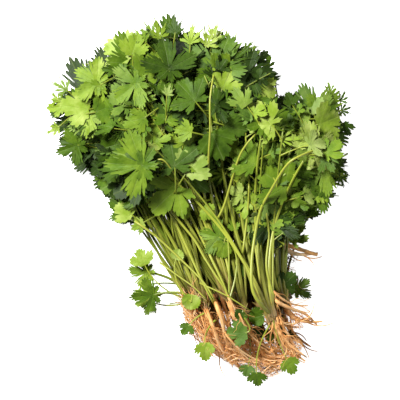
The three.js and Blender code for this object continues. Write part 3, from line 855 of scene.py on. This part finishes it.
def mottled(tree, place, value, size, detail, depth):
    """A value that swings by half the depth either way, in cloudy patches of that size in millimetres."""
    patch = add_node(
        tree, "ShaderNodeTexNoise", [("Vector", place), ("Scale", per_metre(size)), ("Detail", detail)]
    ).outputs["Fac"]
    swing = add_node(
        tree, "ShaderNodeMath", [(0, patch), (1, depth), (2, -depth / 2)], operation="MULTIPLY_ADD"
    ).outputs[0]
    return add_node(tree, "ShaderNodeMath", [(0, value), (1, swing)], operation="ADD").outputs[0]


def leaf_finish(name):
    """Coriander leaf: thin, waxy and a little translucent. Leaves run from deep green to pale, partly at
    random as old and young leaves do and partly as painted shade and light: darker deep in the heap, paler on
    top and near the outline. Some are warmer and some cooler, all duller below, with pale sunk veins and a
    quilted surface."""
    material, tree, shader = new_material(name, [
        ("Roughness", 0.54), ("Specular IOR Level", 0.2), ("IOR", 1.42),
        ("Subsurface Weight", 0.1), ("Subsurface Radius", (0.0012, 0.002, 0.0004)),
    ])
    place = add_node(tree, "ShaderNodeTexCoord").outputs["Object"]
    tint, hue, under, vein = [
        add_node(tree, "ShaderNodeAttribute", attribute_name=value).outputs["Fac"]
        for value in ("tint", "hue", "under", "vein")
    ]
    shade = mottled(tree, place, tint, LEAF_PATCH, 4.0, 0.44)
    warm, cool, below = [
        add_node(tree, "ShaderNodeValToRGB", [("Fac", shade)], stops=stops).outputs["Color"]
        for stops in (WARM_LEAF, COOL_LEAF, LEAF_BELOW)
    ]
    coolness = add_node(
        tree, "ShaderNodeMapRange", [("Value", hue), ("From Min", 0.5), ("From Max", 0.95)]
    ).outputs[0]
    streak = add_node(tree, "ShaderNodeMath", [(0, vein), (1, 7.0)], operation="POWER").outputs[0]
    faint = add_node(tree, "ShaderNodeMath", [(0, streak), (1, 0.15)], operation="MULTIPLY").outputs[0]
    colour = warm
    for share, other in ((coolness, cool), (under, below), (faint, linear(LEAF_VEIN))):
        colour = add_node(
            tree, "ShaderNodeMix", [(0, share), (6, colour), (7, other)], data_type="RGBA"
        ).outputs[2]
    tree.links.new(colour, shader.inputs["Base Color"])
    quilt = add_node(
        tree, "ShaderNodeTexNoise", [("Vector", place), ("Scale", per_metre(LEAF_QUILT)), ("Detail", 3.0)]
    ).outputs["Fac"]
    relief = add_node(
        tree, "ShaderNodeMath", [(0, streak), (1, -0.4), (2, quilt)], operation="MULTIPLY_ADD"
    ).outputs[0]
    bump = add_node(tree, "ShaderNodeBump", [("Height", relief), ("Strength", 0.5), ("Distance", 0.001)])
    tree.links.new(bump.outputs[0], shader.inputs["Normal"])
    return material


def add_grain(tree, shader, place, size, detail, strength, depth):
    """A fine uneven relief on the surface, its grains of that size in millimetres and its depth in metres."""
    grain = add_node(
        tree, "ShaderNodeTexNoise", [("Vector", place), ("Scale", per_metre(size)), ("Detail", detail)]
    ).outputs["Fac"]
    bump = add_node(tree, "ShaderNodeBump", [("Height", grain), ("Strength", strength), ("Distance", depth)])
    tree.links.new(bump.outputs[0], shader.inputs["Normal"])


def stalk_finish(name):
    """Leaf stalk: juicy and a little glossy, papery tan at the sheath, then olive and yellow green. Its tint
    mixes in a darker copy of these colours, mostly painted shade on stalks that lie deep in the heap.
    """
    material, tree, shader = new_material(name, [
        ("Roughness", 0.36), ("IOR", 1.4),
        ("Subsurface Weight", 0.1), ("Subsurface Radius", (0.002, 0.003, 0.0008)),
    ])
    place = add_node(tree, "ShaderNodeTexCoord").outputs["Object"]
    along, tint = [
        add_node(tree, "ShaderNodeAttribute", attribute_name=value).outputs["Fac"]
        for value in ("along", "tint")
    ]
    shade = mottled(tree, place, along, STALK_PATCH, 4.0, 0.3)
    # Painted shade: the darker copy is mixed in by the stalk's tint, which is low deep in the heap
    pale, deep = [
        add_node(tree, "ShaderNodeValToRGB", [("Fac", shade)], stops=stops).outputs["Color"]
        for stops in (PALE_STALK, SHADED_STALK)
    ]
    mixed = add_node(tree, "ShaderNodeMix", [(0, tint), (6, deep), (7, pale)], data_type="RGBA").outputs[2]
    tree.links.new(mixed, shader.inputs["Base Color"])
    add_grain(tree, shader, place, STALK_GRAIN, 3.0, 0.25, 0.0004)
    return material


def root_finish(name):
    """Washed root: matt bark with a fine grain, mottled from brown through tan to cream."""
    material, tree, shader = new_material(name, [
        ("Roughness", 0.75), ("Subsurface Weight", 0.04), ("Subsurface Radius", (0.002, 0.001, 0.0005)),
    ])
    place = add_node(tree, "ShaderNodeTexCoord").outputs["Object"]
    tint = add_node(tree, "ShaderNodeAttribute", attribute_name="tint").outputs["Fac"]
    shade = mottled(tree, place, tint, ROOT_PATCH, 5.0, 0.8)
    bark = add_node(tree, "ShaderNodeValToRGB", [("Fac", shade)], stops=ROOT_BARK).outputs["Color"]
    tree.links.new(bark, shader.inputs["Base Color"])
    add_grain(tree, shader, place, ROOT_GRAIN, 4.0, 0.5, 0.0006)
    return material


FINISHES = {"coriander_leaf": leaf_finish, "coriander_stalk": stalk_finish, "coriander_root": root_finish}


def material_of(finish):
    """The material of that finish, built when it is first asked for."""
    return bpy.data.materials.get(finish) or FINISHES[finish](finish)


def add_crown(sheaf, plant, chance):
    """A ribbed barrel that narrows as 1 - 0.34 t, with a few papery old leaf bases splayed from its foot."""
    lie, place, _, _ = PLANTS[plant]
    start = on_heap(place, lie)
    share = np.linspace(0, 1, CROWN_STEPS)
    points = start + np.outer(share * (CROWN_LENGTH + STALK_START), heading_vector(BUNDLE_HEADING))
    radii = CROWN_RADIUS * (1 - 0.34 * share) * np.where(share > 0.9, 0.7, 1.0)
    radii[0] *= 0.8
    along = 0.1 * np.concatenate([np.repeat(share, CROWN_SIDES), [0, 1]])
    # Painted shade: a crown lower in the heap is darker
    tint = 0.15 + 0.6 * lie
    tube(sheaf, raised(points, radii), radii, CROWN_SIDES, ribs=TOP_RIBS, tint=tint, along=along)
    for _ in range(OLD_BASES):
        heading = BUNDLE_HEADING + chance.uniform(-40, 40)
        way = np.linspace(0, 1, 6)
        length = chance.uniform(9, 18)
        base = start + np.outer(way * length, heading_vector(heading))
        base += chance.uniform(-2.5, 2.5) * heading_vector(BUNDLE_HEADING + 90)
        base[:, 2] = base[:, 2] + 2.4 + 2 * way
        radii = OLD_BASE_RADIUS * (1 - 0.8 * way)
        tube(sheaf, raised(base, 1.2), radii, 6, tint=chance.uniform(0.2, 1), along=chance.uniform(0, 0.05))


class CORIANDER_PG_sizes(bpy.types.PropertyGroup):
    """What can be changed on the bunch."""

    thin_count: IntProperty(
        name="Thin stalks", description="Thin stalks that each plant has beside its own",
        default=3, min=0, max=6,
    )
    bed_count: IntProperty(
        name="Bed stalks", description="Stalks in the depth of the bundle", default=125, min=0, max=150
    )
    twig_count: IntProperty(
        name="Side sprigs", description="Small leafy side sprigs on each long stalk", default=5, min=0, max=8
    )
    twig_leaf: FloatProperty(
        name="Sprig leaf", description="Length of a sprig's end leaflet",
        default=0.017, min=0.008, max=0.03, unit="LENGTH",
    )
    hair_count: IntProperty(
        name="Root hairs", description="Fine side roots on each taproot", default=30, min=0, max=80
    )
    felt_count: IntProperty(
        name="Root felt", description="Fine loose roots in the felt below the crowns",
        default=1250, min=0, max=2000,
    )
    floor_colour: FloatVectorProperty(
        name="Floor", description="Colour of the floor",
        subtype="COLOR", size=3, default=(0.9, 0.9, 0.9), min=0, max=1,
    )


def add_own_stalks(sheaf, plant, lie, chance):
    """A plant's stalks, thicker in a sheath at the crown by 0.5 exp(-(way / sheath)^2)."""
    for stalk, curve, _ in placed_stalks(plant):
        share = np.linspace(0, 1, STALK_STEPS)
        sheath = 1 + 0.5 * np.exp(-((share * stalk_length(plant, stalk) / SHEATH_LENGTH) ** 2))
        radii = (STALK_RADIUS + (STALK_TIP_RADIUS - STALK_RADIUS) * share) * sheath
        radii = radii * (1 + 0.03 * np.sin(9 * share + chance.uniform(0, 6)))
        # Painted shade: a stalk is darker the lower its plant lies in the heap, with a random swing
        tint = np.clip(0.38 + 0.5 * lie + chance.uniform(-0.25, 0.2), 0, 1)
        lying_tube(sheaf, curve, radii, STALK_SIDES, ribs=STALK_RIBS, tint=tint)


def add_top_stalk(sheaf, radius, lie, spots):
    """A stalk on top of the heap, whose two ends dip into it by a depth times exp(-(way / 0.08)^2)."""
    plan = through(spots, TOP_STALK_STEPS)
    share = np.linspace(0, 1, TOP_STALK_STEPS)
    rise = lie * heap_height(plan[:, 0], plan[:, 1])
    rise -= 12 * np.exp(-((share / 0.08) ** 2)) + 10 * np.exp(-(((1 - share) / 0.08) ** 2))
    points = np.column_stack([plan, rise])
    tube(sheaf, points, radius * (1 - 0.35 * share), 12, ribs=TOP_RIBS, tint=0.85, along=0.2 + 0.12 * radius)


class CORIANDER_OT_stalks(bpy.types.Operator):
    """Draws each plant's crown, its ribbed stalks and the thin ones between them"""

    bl_idname = "coriander.stalks"
    bl_label = "Stalks"

    def execute(self, context):
        sizes = context.scene.coriander
        for plant, (lie, _, _, _) in enumerate(PLANTS):
            sheaf = Sheaf()
            chance = chance_of("stalks", plant)
            add_crown(sheaf, plant, chance)
            add_own_stalks(sheaf, plant, lie, chance)
            for curve in thin_stalks(plant, sizes.thin_count):
                radii = chance.uniform(0.9, 1.5) * (1 - 0.5 * np.linspace(0, 1, THIN_STEPS))
                # Painted shade: thin stalks lower in the heap are darker, with a random swing
                tint = np.clip(0.15 + 0.8 * lie + chance.uniform(-0.3, 0.3), 0, 1)
                lying_tube(sheaf, curve, radii, 8, tint=tint)
            number = f"{plant + 1:02d}"
            make_piece(sheaf, f"stalks_{number}", "coriander_stalk", f"shoot_{number}")
        bed, top = Sheaf(), Sheaf()
        chance = chance_of("bed looks")
        for curve in bed_stalks(sizes.bed_count):
            radii = chance.uniform(1.2, 2.0) * (1 - 0.45 * np.linspace(0, 1, BED_STEPS))
            # Painted shade: bed stalks lower in the heap are darker, with a random swing
            tint = np.clip(0.8 * curve.lie + chance.uniform(-0.3, 0.1), 0, 1)
            lying_tube(bed, curve, radii, 7, tint=tint)
        for radius, lie, spots in TOP_STALKS:
            add_top_stalk(top, radius, lie, spots)
        make_piece(bed, "bed_stalks", "coriander_stalk", None)
        make_piece(top, "top_stalks", "coriander_stalk", None)
        return {"FINISHED"}


class CORIANDER_OT_leaves(bpy.types.Operator):
    """Draws the lobed leaves that the solids have, with teeth, veins and ruffled edges"""

    bl_idname = "coriander.leaves"
    bl_label = "Leaves"

    def execute(self, context):
        for plant, (lie, _, _, _) in enumerate(PLANTS):
            sheaf = Sheaf()
            chance = chance_of("leaves", plant)
            for _, _, poses in placed_stalks(plant):
                for blade, pose in enumerate(poses):
                    swing = chance.uniform(-0.12, 0.24)
                    if pose is None:
                        continue
                    # Painted shade: a leaf is darker the deeper it lies in the heap and paler on top and at
                    # the edges, plus a random swing
                    tint = max(painted_leaf_shade(lie, pose["base"]) + swing, 0.52 * lie)
                    if blade:
                        add_blade(sheaf, pose, str(chance.choice(LEAFLET_KINDS)), chance, tint)
                    else:
                        add_hand(sheaf, pose, chance, tint)
                    blade_stalk(sheaf, pose, tint)
            number = f"{plant + 1:02d}"
            make_piece(sheaf, f"leaves_{number}", "coriander_leaf", f"shoot_{number}")
        return {"FINISHED"}


def reach_at(y):
    """The left and right ends of the bunch's reach at that height up the drawing."""
    return [np.interp(y, REACH_ROWS[:, 0], REACH_ROWS[:, side]) for side in (1, 2)]


def reaches_out(pose):
    """Whether a blade's tip lies outside the bunch's reach from above."""
    tip = pose["base"] + pose["length"] * pose["ahead"]
    left, right = reach_at(tip[1])
    return not (left < tip[0] < right and REACH_ROWS[0, 0] < tip[1] < REACH_ROWS[-1, 0])


def painted_leaf_shade(lie, spot):
    """Painted shade and light on a leaf: paler on top, within 40 mm of the outline from above, and at the
    right, and darker deeper in the heap.
    """
    left, right = reach_at(spot[1])
    inside = min(spot[0] - left, right - spot[0], REACH_ROWS[-1, 0] - spot[1])
    rightness = float(np.clip(spot[0] / 40 - 0.8, 0, 1))
    return 0.01 + 0.5 * max(lie, 1.1 - inside / 40) + 0.22 * rightness


def add_sprig(leaves, twigs, point, along, side, length, leaf, chance, tint):
    """A side sprig: a thin stalk off a stalk, bowed as its way squared, that bears three leaflets."""
    heading = along + side * chance.uniform(25, 70)
    reach = np.linspace(0, 1, 7)
    points = point + length * np.outer(reach, heading_vector(heading))
    points += 0.25 * length * np.outer(reach**2, heading_vector(heading + side * 30))
    points[:, 2] += chance.uniform(-3, 6) * reach
    points = raised(points, 0.6)
    tube(twigs, points, np.linspace(0.75, 0.45, 7), 6, tint=np.clip(tint + 0.2, 0, 1), along=0.7)
    tip_heading = heading_of(points[-1] - points[-2])
    for place, turn, size in SPRIG_LEAFLETS:
        pose = held_blade(
            base=points[place],
            heading=tip_heading + turn + chance.uniform(-14, 14),
            pitch=chance.uniform(-30, 18),
            roll=chance.uniform(-42, 42),
            length=leaf * size * chance.uniform(0.8, 1.2),
            arch=chance.uniform(0.0, 0.34),
            fold=chance.uniform(-0.1, 0.34),
        )
        own = tint + chance.uniform(-0.14, 0.2)
        kind = str(chance.choice(SPRIG_KINDS))
        if not reaches_out(pose):
            add_blade(leaves, pose, kind, chance, own, fine=False)


class CORIANDER_OT_sprigs(bpy.types.Operator):
    """Adds the small leafy side sprigs that fill the bunch"""

    bl_idname = "coriander.sprigs"
    bl_label = "Sprigs"

    def execute(self, context):
        sizes = context.scene.coriander
        for plant, (lie, crown, _, _) in enumerate(PLANTS):
            leaves, twigs = Sheaf(), Sheaf()
            chance = chance_of("sprigs", plant)
            curves = [curve for _, curve, _ in placed_stalks(plant)] + thin_stalks(plant, sizes.thin_count)
            for order, curve in enumerate(curves):
                length = math.dist(curve.end, crown)
                for number in range(sizes.twig_count):
                    below = SPRIG_START + number * SPRIG_SPACING + chance.uniform(-7, 7)
                    share = 1 - below / max(length, 1)
                    side = 1 if (number + order) % 2 else -1
                    swing = chance.uniform(-0.22, 0.22)
                    leaf = 1000 * sizes.twig_leaf * chance.uniform(0.7, 1.25)
                    twig = chance.uniform(10, 24)
                    if share < BARE_SHARE:
                        continue
                    point, ahead, _, _ = curve.frames(share)
                    if point[1] < np.interp(point[0], LEAF_LINE[:, 0], LEAF_LINE[:, 1]):
                        continue
                    # Painted shade and light, as on the plant's own leaves, plus a random swing
                    tint = painted_leaf_shade(lie, point) + swing
                    add_sprig(leaves, twigs, point, heading_of(ahead), side, twig, leaf, chance, tint)
            number = f"{plant + 1:02d}"
            make_piece(leaves, f"sprig_leaves_{number}", "coriander_leaf", None)
            make_piece(twigs, f"sprig_stalks_{number}", "coriander_stalk", None)
        return {"FINISHED"}


def add_single(sheaf, base, heading, length, kind, tint, hold, chance):
    """A leaf of its own, held at random within ranges of pitch, roll, arch and fold, and its pose."""
    pitch, roll, arch, fold = [chance.uniform(*span) for span in hold]
    pose = held_blade(base, heading, pitch, roll, length, arch, fold)
    if kind == "hand":
        add_hand(sheaf, pose, chance, tint)
    else:
        add_blade(sheaf, pose, kind, chance, tint, ruffle=SINGLE_RUFFLE)
    return pose


def short_stalk(sheaf, pose, heading, chance):
    """A leaf's stalk that bows back and down into the heap."""
    base = pose["base"]
    back = heading_vector(heading + 180 + chance.uniform(-20, 20))
    buried = base + 22 * back + [0, 0, -17]
    line = bowed(base + 2 * pose["ahead"], base + 12 * back, buried, np.linspace(0, 1, 9))
    tube(sheaf, line, np.linspace(0.6, 0.95, 9), 7, tint=0.55, along=0.8)


def long_stalk(sheaf, pose, heading, lie, crown):
    """A leaf's stalk that bows back to a plant's crown."""
    base = pose["base"]
    foot = on_heap(crown, lie)
    pull = base + 0.45 * np.linalg.norm(foot - base) * heading_vector(heading + 180)
    line = bowed(base + 2 * pose["ahead"], pull, foot, np.linspace(0, 1, 16))
    tube(sheaf, raised(line, 0.9), np.linspace(0.5, 0.85, 16), 7, tint=0.8, along=0.6)


class CORIANDER_OT_single_leaves(bpy.types.Operator):
    """Adds the leaves that stand out on top, and those among the stalks and roots"""

    bl_idname = "coriander.single_leaves"
    bl_label = "Single leaves"

    def execute(self, context):
        leaves, stalks = Sheaf(), Sheaf()
        chance = chance_of("single leaves")
        for x, y, heading, length, kind, tint in TOP_LEAVES:
            base = on_heap((x, y), TOP_LIE)
            base[2] += chance.uniform(-1, 2)
            pose = add_single(leaves, base, heading, length, kind, tint, TOP_HOLD, chance)
            short_stalk(stalks, pose, heading, chance)
        crowns = np.array([place for _, place, _, _ in PLANTS], float)
        for x, y, heading, length, kind, tint, lie in LOW_LEAVES:
            base = on_heap((x, y), lie)
            base[2] = max(base[2], 2)
            pose = add_single(leaves, base, heading, length, kind, tint, LOW_HOLD, chance)
            nearest = crowns[np.argmin(np.linalg.norm(crowns - (x, y), axis=1))]
            if math.dist(nearest, (x, y)) > LONG_STALK_REACH:
                short_stalk(stalks, pose, heading, chance)
            else:
                long_stalk(stalks, pose, heading, lie, nearest)
        make_piece(leaves, "single_leaves", "coriander_leaf", None)
        make_piece(stalks, "single_leaf_stalks", "coriander_stalk", None)
        return {"FINISHED"}


def root_curve(plant):
    """The curve of a plant's taproot, as in the solids."""
    lie, crown, reach, _ = PLANTS[plant]
    away = -heading_vector(BUNDLE_HEADING)[:2]
    start = np.array(crown) - TAPROOT_SINK * away
    end = start + np.array(reach)
    pull = start + away * CROWN_PULL * math.dist(start, end)
    return LyingCurve(start, pull, end, lie)


def rootlet_curve(plant, number, attempt, taproot):
    """A side root: it leaves the taproot at a slant and wavers at the plant's own height."""
    point, ahead, _, _ = taproot.frames(0.3 + 0.6 * number / ROOTLETS)
    side = 1 if number % 2 else -1
    heading = heading_of(ahead) + side * (38 + 22 * draw(plant, 90 + number, attempt, 0))
    length = ROOTLET_LENGTH * (1 + 0.4 * draw(plant, 90 + number, attempt, 1))
    pull = point[:2] + 0.6 * length * heading_vector(heading)[:2]
    end = pull + 0.6 * length * heading_vector(heading - side * 60)[:2]
    return LyingCurve(point, pull, end, PLANTS[plant][0])


def placed_rootlets(plant, taproot):
    """A plant's side roots as they are in the CAD, without those that the solids leave off."""
    corners = node_corners(f"root_{plant + 1:02d}")
    shares = np.array([0.5, 1.0])
    radii = ROOTLET_RADIUS * (1 - 0.5 * shares)
    placed = []
    for number in range(ROOTLETS):
        curves = [rootlet_curve(plant, number, attempt, taproot) for attempt in range(TRIES)]
        rings = [solid_rings(curve, shares, radii, SOLID_ROOTLET_SIDES) for curve in curves]
        found = best_try(rings, corners, 0.6)
        if found is not None:
            placed.append(curves[found])
    return placed


def add_hair(sheaf, point, heading, length, thickness, chance, tint, curl=1.0, steps=9, past=-2):
    """A fine root: its heading drifts as a straight turn plus a sine, until it is that far past the reach."""
    way = np.linspace(0, 1, steps)
    turn, sway, pace = chance.uniform(-60, 60), chance.uniform(10, 40), chance.uniform(5, 12)
    angle = np.radians(heading + curl * (turn * way + sway * np.sin(way * pace)))
    plan = np.cumsum(np.stack([np.cos(angle), np.sin(angle)], -1), 0) * length / steps
    rise = chance.uniform(-6, 4) * way + 1.5 * np.sin(way * chance.uniform(4, 9))
    points = point + np.column_stack([plan, rise])
    points[0] = point
    left, right = reach_at(points[:, 1])
    across = points[:, 0]
    inside = (left - past < across) & (across < right + past) & (points[:, 1] > REACH_ROWS[0, 0])
    kept = steps if inside.all() else int(np.argmin(inside))
    if kept < 4:
        return
    radii = thickness * (1 - 0.6 * np.linspace(0, 1, kept))
    tube(sheaf, raised(points[:kept], radii + 0.1), radii, 3, tint=tint)


class CORIANDER_OT_roots(bpy.types.Operator):
    """Draws each plant's taproot with its side roots and hairs"""

    bl_idname = "coriander.roots"
    bl_label = "Roots"

    def execute(self, context):
        for plant, (lie, _, _, _) in enumerate(PLANTS):
            sheaf = Sheaf()
            chance = chance_of("roots", plant)
            curve = root_curve(plant)
            share = np.linspace(0.04, 1, TAPROOT_STEPS)
            radii = TAPROOT_RADIUS + (TAPROOT_TIP_RADIUS - TAPROOT_RADIUS) * share
            radii = radii * (1 + 0.07 * np.sin(37 * share) + 0.05 * chance.uniform(-1, 1, len(share)))
            points = raised(curve.points(share), radii * 1.06)
            bare = plant == LOOSE_ROOT_PLANT
            # Painted shade: a root lower in the heap has darker bark. The bare root gets the palest bark,
            # which also lightens it against the heap's shadow: painted light.
            bark = 0.42 + 0.3 * lie
            tube(sheaf, points, radii, 12, ribs=TAPROOT_RIBS, tint=1.0 if bare else bark)
            for rootlet in placed_rootlets(plant, curve):
                narrowing = ROOTLET_RADIUS * (1 - 0.5 * np.linspace(0, 1, 16))
                lying_tube(sheaf, rootlet, narrowing, 8, tint=bark)
            if bare:
                way = np.linspace(0, 1, TAPROOT_STEPS)
                knobbly = BARE_ROOT_RADIUS * (1 - 0.35 * way) * (1 + 0.08 * np.sin(43 * way))
                lying_tube(sheaf, LyingCurve(*BARE_ROOT, lie + 0.08), knobbly, 12, ribs=ROOT_RIBS, tint=0.72)
            count = context.scene.coriander.hair_count // (4 if bare else 1)
            for number in range(count):
                point, ahead, _, _ = curve.frames(0.08 + 0.9 * number / count)
                heading = heading_of(ahead) + chance.choice([-1, 1]) * chance.uniform(8, 48)
                thickness = chance.choice([0.22, 0.3, 0.45, 0.7])
                # Painted shade: hairs of a root lower in the heap are darker, with a random swing
                tint = 0.2 + 0.4 * lie + chance.uniform(-0.1, 0.3)
                add_hair(sheaf, point, heading, chance.uniform(10, 30), thickness, chance, tint, steps=12)
            number = f"{plant + 1:02d}"
            make_piece(sheaf, f"roots_{number}", "coriander_root", f"root_{number}")
        return {"FINISHED"}


def on_path(path, at):
    """The place at that many corners along a path."""
    corners = np.arange(len(path))
    return np.array([np.interp(at, corners, path[:, axis]) for axis in (0, 1)])


def add_felt(sheaf, count, chance):
    """Fine roots that run both ways along the felt's path, spread across it and through its depth."""
    for number in range(count):
        at = (len(FELT_PATH) - 1) * number / count
        knot = min(int(at), len(FELT_PATH) - 2)
        heading = heading_of(FELT_PATH[knot + 1] - FELT_PATH[knot])
        across = chance.normal(0, 0.5) * FELT_HALF_WIDTH
        spot = on_path(FELT_PATH, at) + across * heading_vector(heading + 90)[:2]
        level = chance.uniform(0.04, 0.92)
        point = on_heap(spot, level)
        point[2] *= 0.9
        along = heading + chance.choice([0, 180]) + chance.uniform(-30, 30)
        thickness = chance.choice([0.2, 0.32, 0.5])
        # Painted shade: felt lower in the heap is darker, with a random swing
        tint = 0.25 + 0.46 * level + chance.uniform(-0.1, 0.34)
        add_hair(sheaf, point, along, chance.uniform(10, 26), thickness, chance, tint, curl=0.7)


def add_shown_root(sheaf, radius, lie, spots, chance):
    """A root that comes up from under the crowns by a depth times exp(-(way / 0.15)^2), with hairs on it."""
    hidden = np.array(spots[0]) + SHOWN_ROOT_HIDDEN * heading_vector(BUNDLE_HEADING)[:2]
    plan = through([hidden, *spots], SHOWN_ROOT_STEPS)
    share = np.linspace(0, 1, SHOWN_ROOT_STEPS)
    sunk = np.exp(-((share / 0.15) ** 2))
    radii = radius * (1 - 0.62 * share) * (1 - 0.3 * sunk) * (1 + 0.07 * np.sin(41 * share + radius))
    rise = lie * heap_height(plan[:, 0], plan[:, 1]) * (1 - 0.5 * share**2) - SHOWN_ROOT_DEPTH * sunk
    rise = np.maximum(rise, 1.15 * radii)
    # Painted shade: the root is darker lower in the heap and where it comes up from under the crowns
    shade = 0.9 * lie - 0.08 - 0.55 * np.exp(-((share / 0.26) ** 2))
    shades = np.concatenate([np.repeat(shade, SHOWN_ROOT_SIDES), shade[[0, -1]]])
    tube(sheaf, np.column_stack([plan, rise]), radii, SHOWN_ROOT_SIDES, ribs=ROOT_RIBS, tint=shades)
    for _ in range(SHOWN_ROOT_HAIRS):
        at = chance.integers(4, 38)
        point = np.array([*plan[at], rise[at]])
        along = heading_of(plan[at + 1] - plan[at]) + chance.choice([-1, 1]) * chance.uniform(15, 60)
        add_hair(sheaf, point, along, chance.uniform(8, 22), 0.32, chance, 0.6, curl=0.8)


def add_tangle(sheaf, chance):
    """Curly brown hair along the tangle's path, and a few long fine roots that trail from its top."""
    for number in range(TANGLE_HAIRS):
        spot = on_path(TANGLE_PATH, (len(TANGLE_PATH) - 1) * number / TANGLE_HAIRS)
        point = np.array([*spot, chance.uniform(0.5, 9)]) + [*chance.uniform(-4, 4, 2), 0]
        heading = chance.uniform(0, 360)
        add_hair(sheaf, point, heading, chance.uniform(8, 22), 0.26, chance, 0.1, curl=3, steps=14, past=8)
    for heading, length in TRAILING_ROOTS:
        point = np.array(TRAILING_START)
        add_hair(sheaf, point, heading, length, 0.32, chance, 0.6, curl=1.4, steps=20, past=8)


class CORIANDER_OT_felt(bpy.types.Operator):
    """Adds the felt of fine roots below the crowns and the loose tangle beside them"""

    bl_idname = "coriander.felt"
    bl_label = "Root felt"

    def execute(self, context):
        felt, tangle = Sheaf(), Sheaf()
        chance = chance_of("felt")
        add_felt(felt, context.scene.coriander.felt_count, chance)
        for radius, lie, spots in SHOWN_ROOTS:
            add_shown_root(felt, radius, lie, spots, chance)
        add_tangle(tangle, chance)
        make_piece(felt, "root_felt", "coriander_root", None)
        make_piece(tangle, "root_tangle", "coriander_root", None)
        return {"FINISHED"}


class CORIANDER_OT_stage(bpy.types.Operator):
    """Adds the pale floor, the soft lights and the camera straight above"""

    bl_idname = "coriander.stage"
    bl_label = "Stage"

    def execute(self, context):
        scene = context.scene
        mesh = bpy.data.meshes.new("floor")
        corners = [(x * FLOOR_REACH, y * FLOOR_REACH, 0) for x, y in ((-1, -1), (1, -1), (1, 1), (-1, 1))]
        mesh.from_pydata(corners, [], [(0, 1, 2, 3)])
        floor = bpy.data.objects.new("floor", mesh)
        scene.collection.objects.link(floor)
        # White painted board: matt, and so bright that no edge of it shows
        material, _, _ = new_material("painted_board", [
            ("Base Color", (*scene.coriander.floor_colour, 1)), ("Roughness", 0.9),
            ("Emission Color", (1, 1, 1, 1)), ("Emission Strength", 1.0),
        ])
        mesh.materials.append(material)
        # The floor's own glow takes the shadow off the floor alone
        glow = bpy.data.collections.new("lit_by_floor")
        glow.objects.link(floor)
        floor.light_linking.receiver_collection = glow
        for name, place, size, watts in LIGHTS:
            soft_light(name, place, size, watts)
        world = bpy.data.worlds.new("studio")
        scene.world = world
        world.use_nodes = True
        background = world.node_tree.nodes["Background"]
        background.inputs["Color"].default_value = (1, 1, 1, 1)
        background.inputs["Strength"].default_value = WORLD_STRENGTH
        aim_camera(context)
        scene.view_settings.view_transform = "Standard"
        return {"FINISHED"}


def soft_light(name, place, size, watts):
    """A square area light that faces the middle of the bunch."""
    light = bpy.data.lights.new(name, "AREA")
    light.size = size
    light.energy = watts
    lamp = bpy.data.objects.new(name, light)
    bpy.context.scene.collection.objects.link(lamp)
    lamp.location = place
    back = lamp.location.normalized()
    lamp.rotation_euler = back.to_track_quat("Z", "Y").to_euler()


def aim_camera(context):
    """A long lens straight above, whose frame is 360 mm wide at the middle height of the bunch."""
    height, middle, width, sensor = 2.5, 0.04, 0.36, 36
    camera = bpy.data.objects.new("camera", bpy.data.cameras.new("camera"))
    context.scene.collection.objects.link(camera)
    camera.location = (-0.001 * FOOTPRINT_CENTRE[0], -0.001 * FOOTPRINT_CENTRE[1], height)
    camera.data.sensor_width = sensor
    camera.data.lens = sensor * (height - middle) / width
    camera.data.clip_end = 20
    context.scene.camera = camera


class CORIANDER_PT_panel(bpy.types.Panel):
    """Lists the sizes and the pieces of the bunch"""

    bl_label = "Coriander"
    bl_idname = "CORIANDER_PT_panel"
    bl_space_type = "VIEW_3D"
    bl_region_type = "UI"
    bl_category = "Coriander"

    def draw(self, context):
        for name in (
            "thin_count", "bed_count", "twig_count", "twig_leaf", "hair_count", "felt_count", "floor_colour",
        ):
            self.layout.prop(context.scene.coriander, name)
        for operator in OPERATORS:
            self.layout.operator(operator.bl_idname)


OPERATORS = (
    CORIANDER_OT_stalks,
    CORIANDER_OT_leaves,
    CORIANDER_OT_sprigs,
    CORIANDER_OT_single_leaves,
    CORIANDER_OT_roots,
    CORIANDER_OT_felt,
    CORIANDER_OT_stage,
)
CLASSES = (CORIANDER_PG_sizes, *OPERATORS, CORIANDER_PT_panel)


def register():
    for item in CLASSES:
        bpy.utils.register_class(item)
    bpy.types.Scene.coriander = PointerProperty(type=CORIANDER_PG_sizes)


def unregister():
    del bpy.types.Scene.coriander
    for item in reversed(CLASSES):
        bpy.utils.unregister_class(item)


def main():
    register()
    bpy.ops.coriander.stalks()
    bpy.ops.coriander.leaves()
    bpy.ops.coriander.sprigs()
    bpy.ops.coriander.single_leaves()
    bpy.ops.coriander.roots()
    bpy.ops.coriander.felt()
    bpy.ops.coriander.stage()


if __name__ == "__main__":
    main()
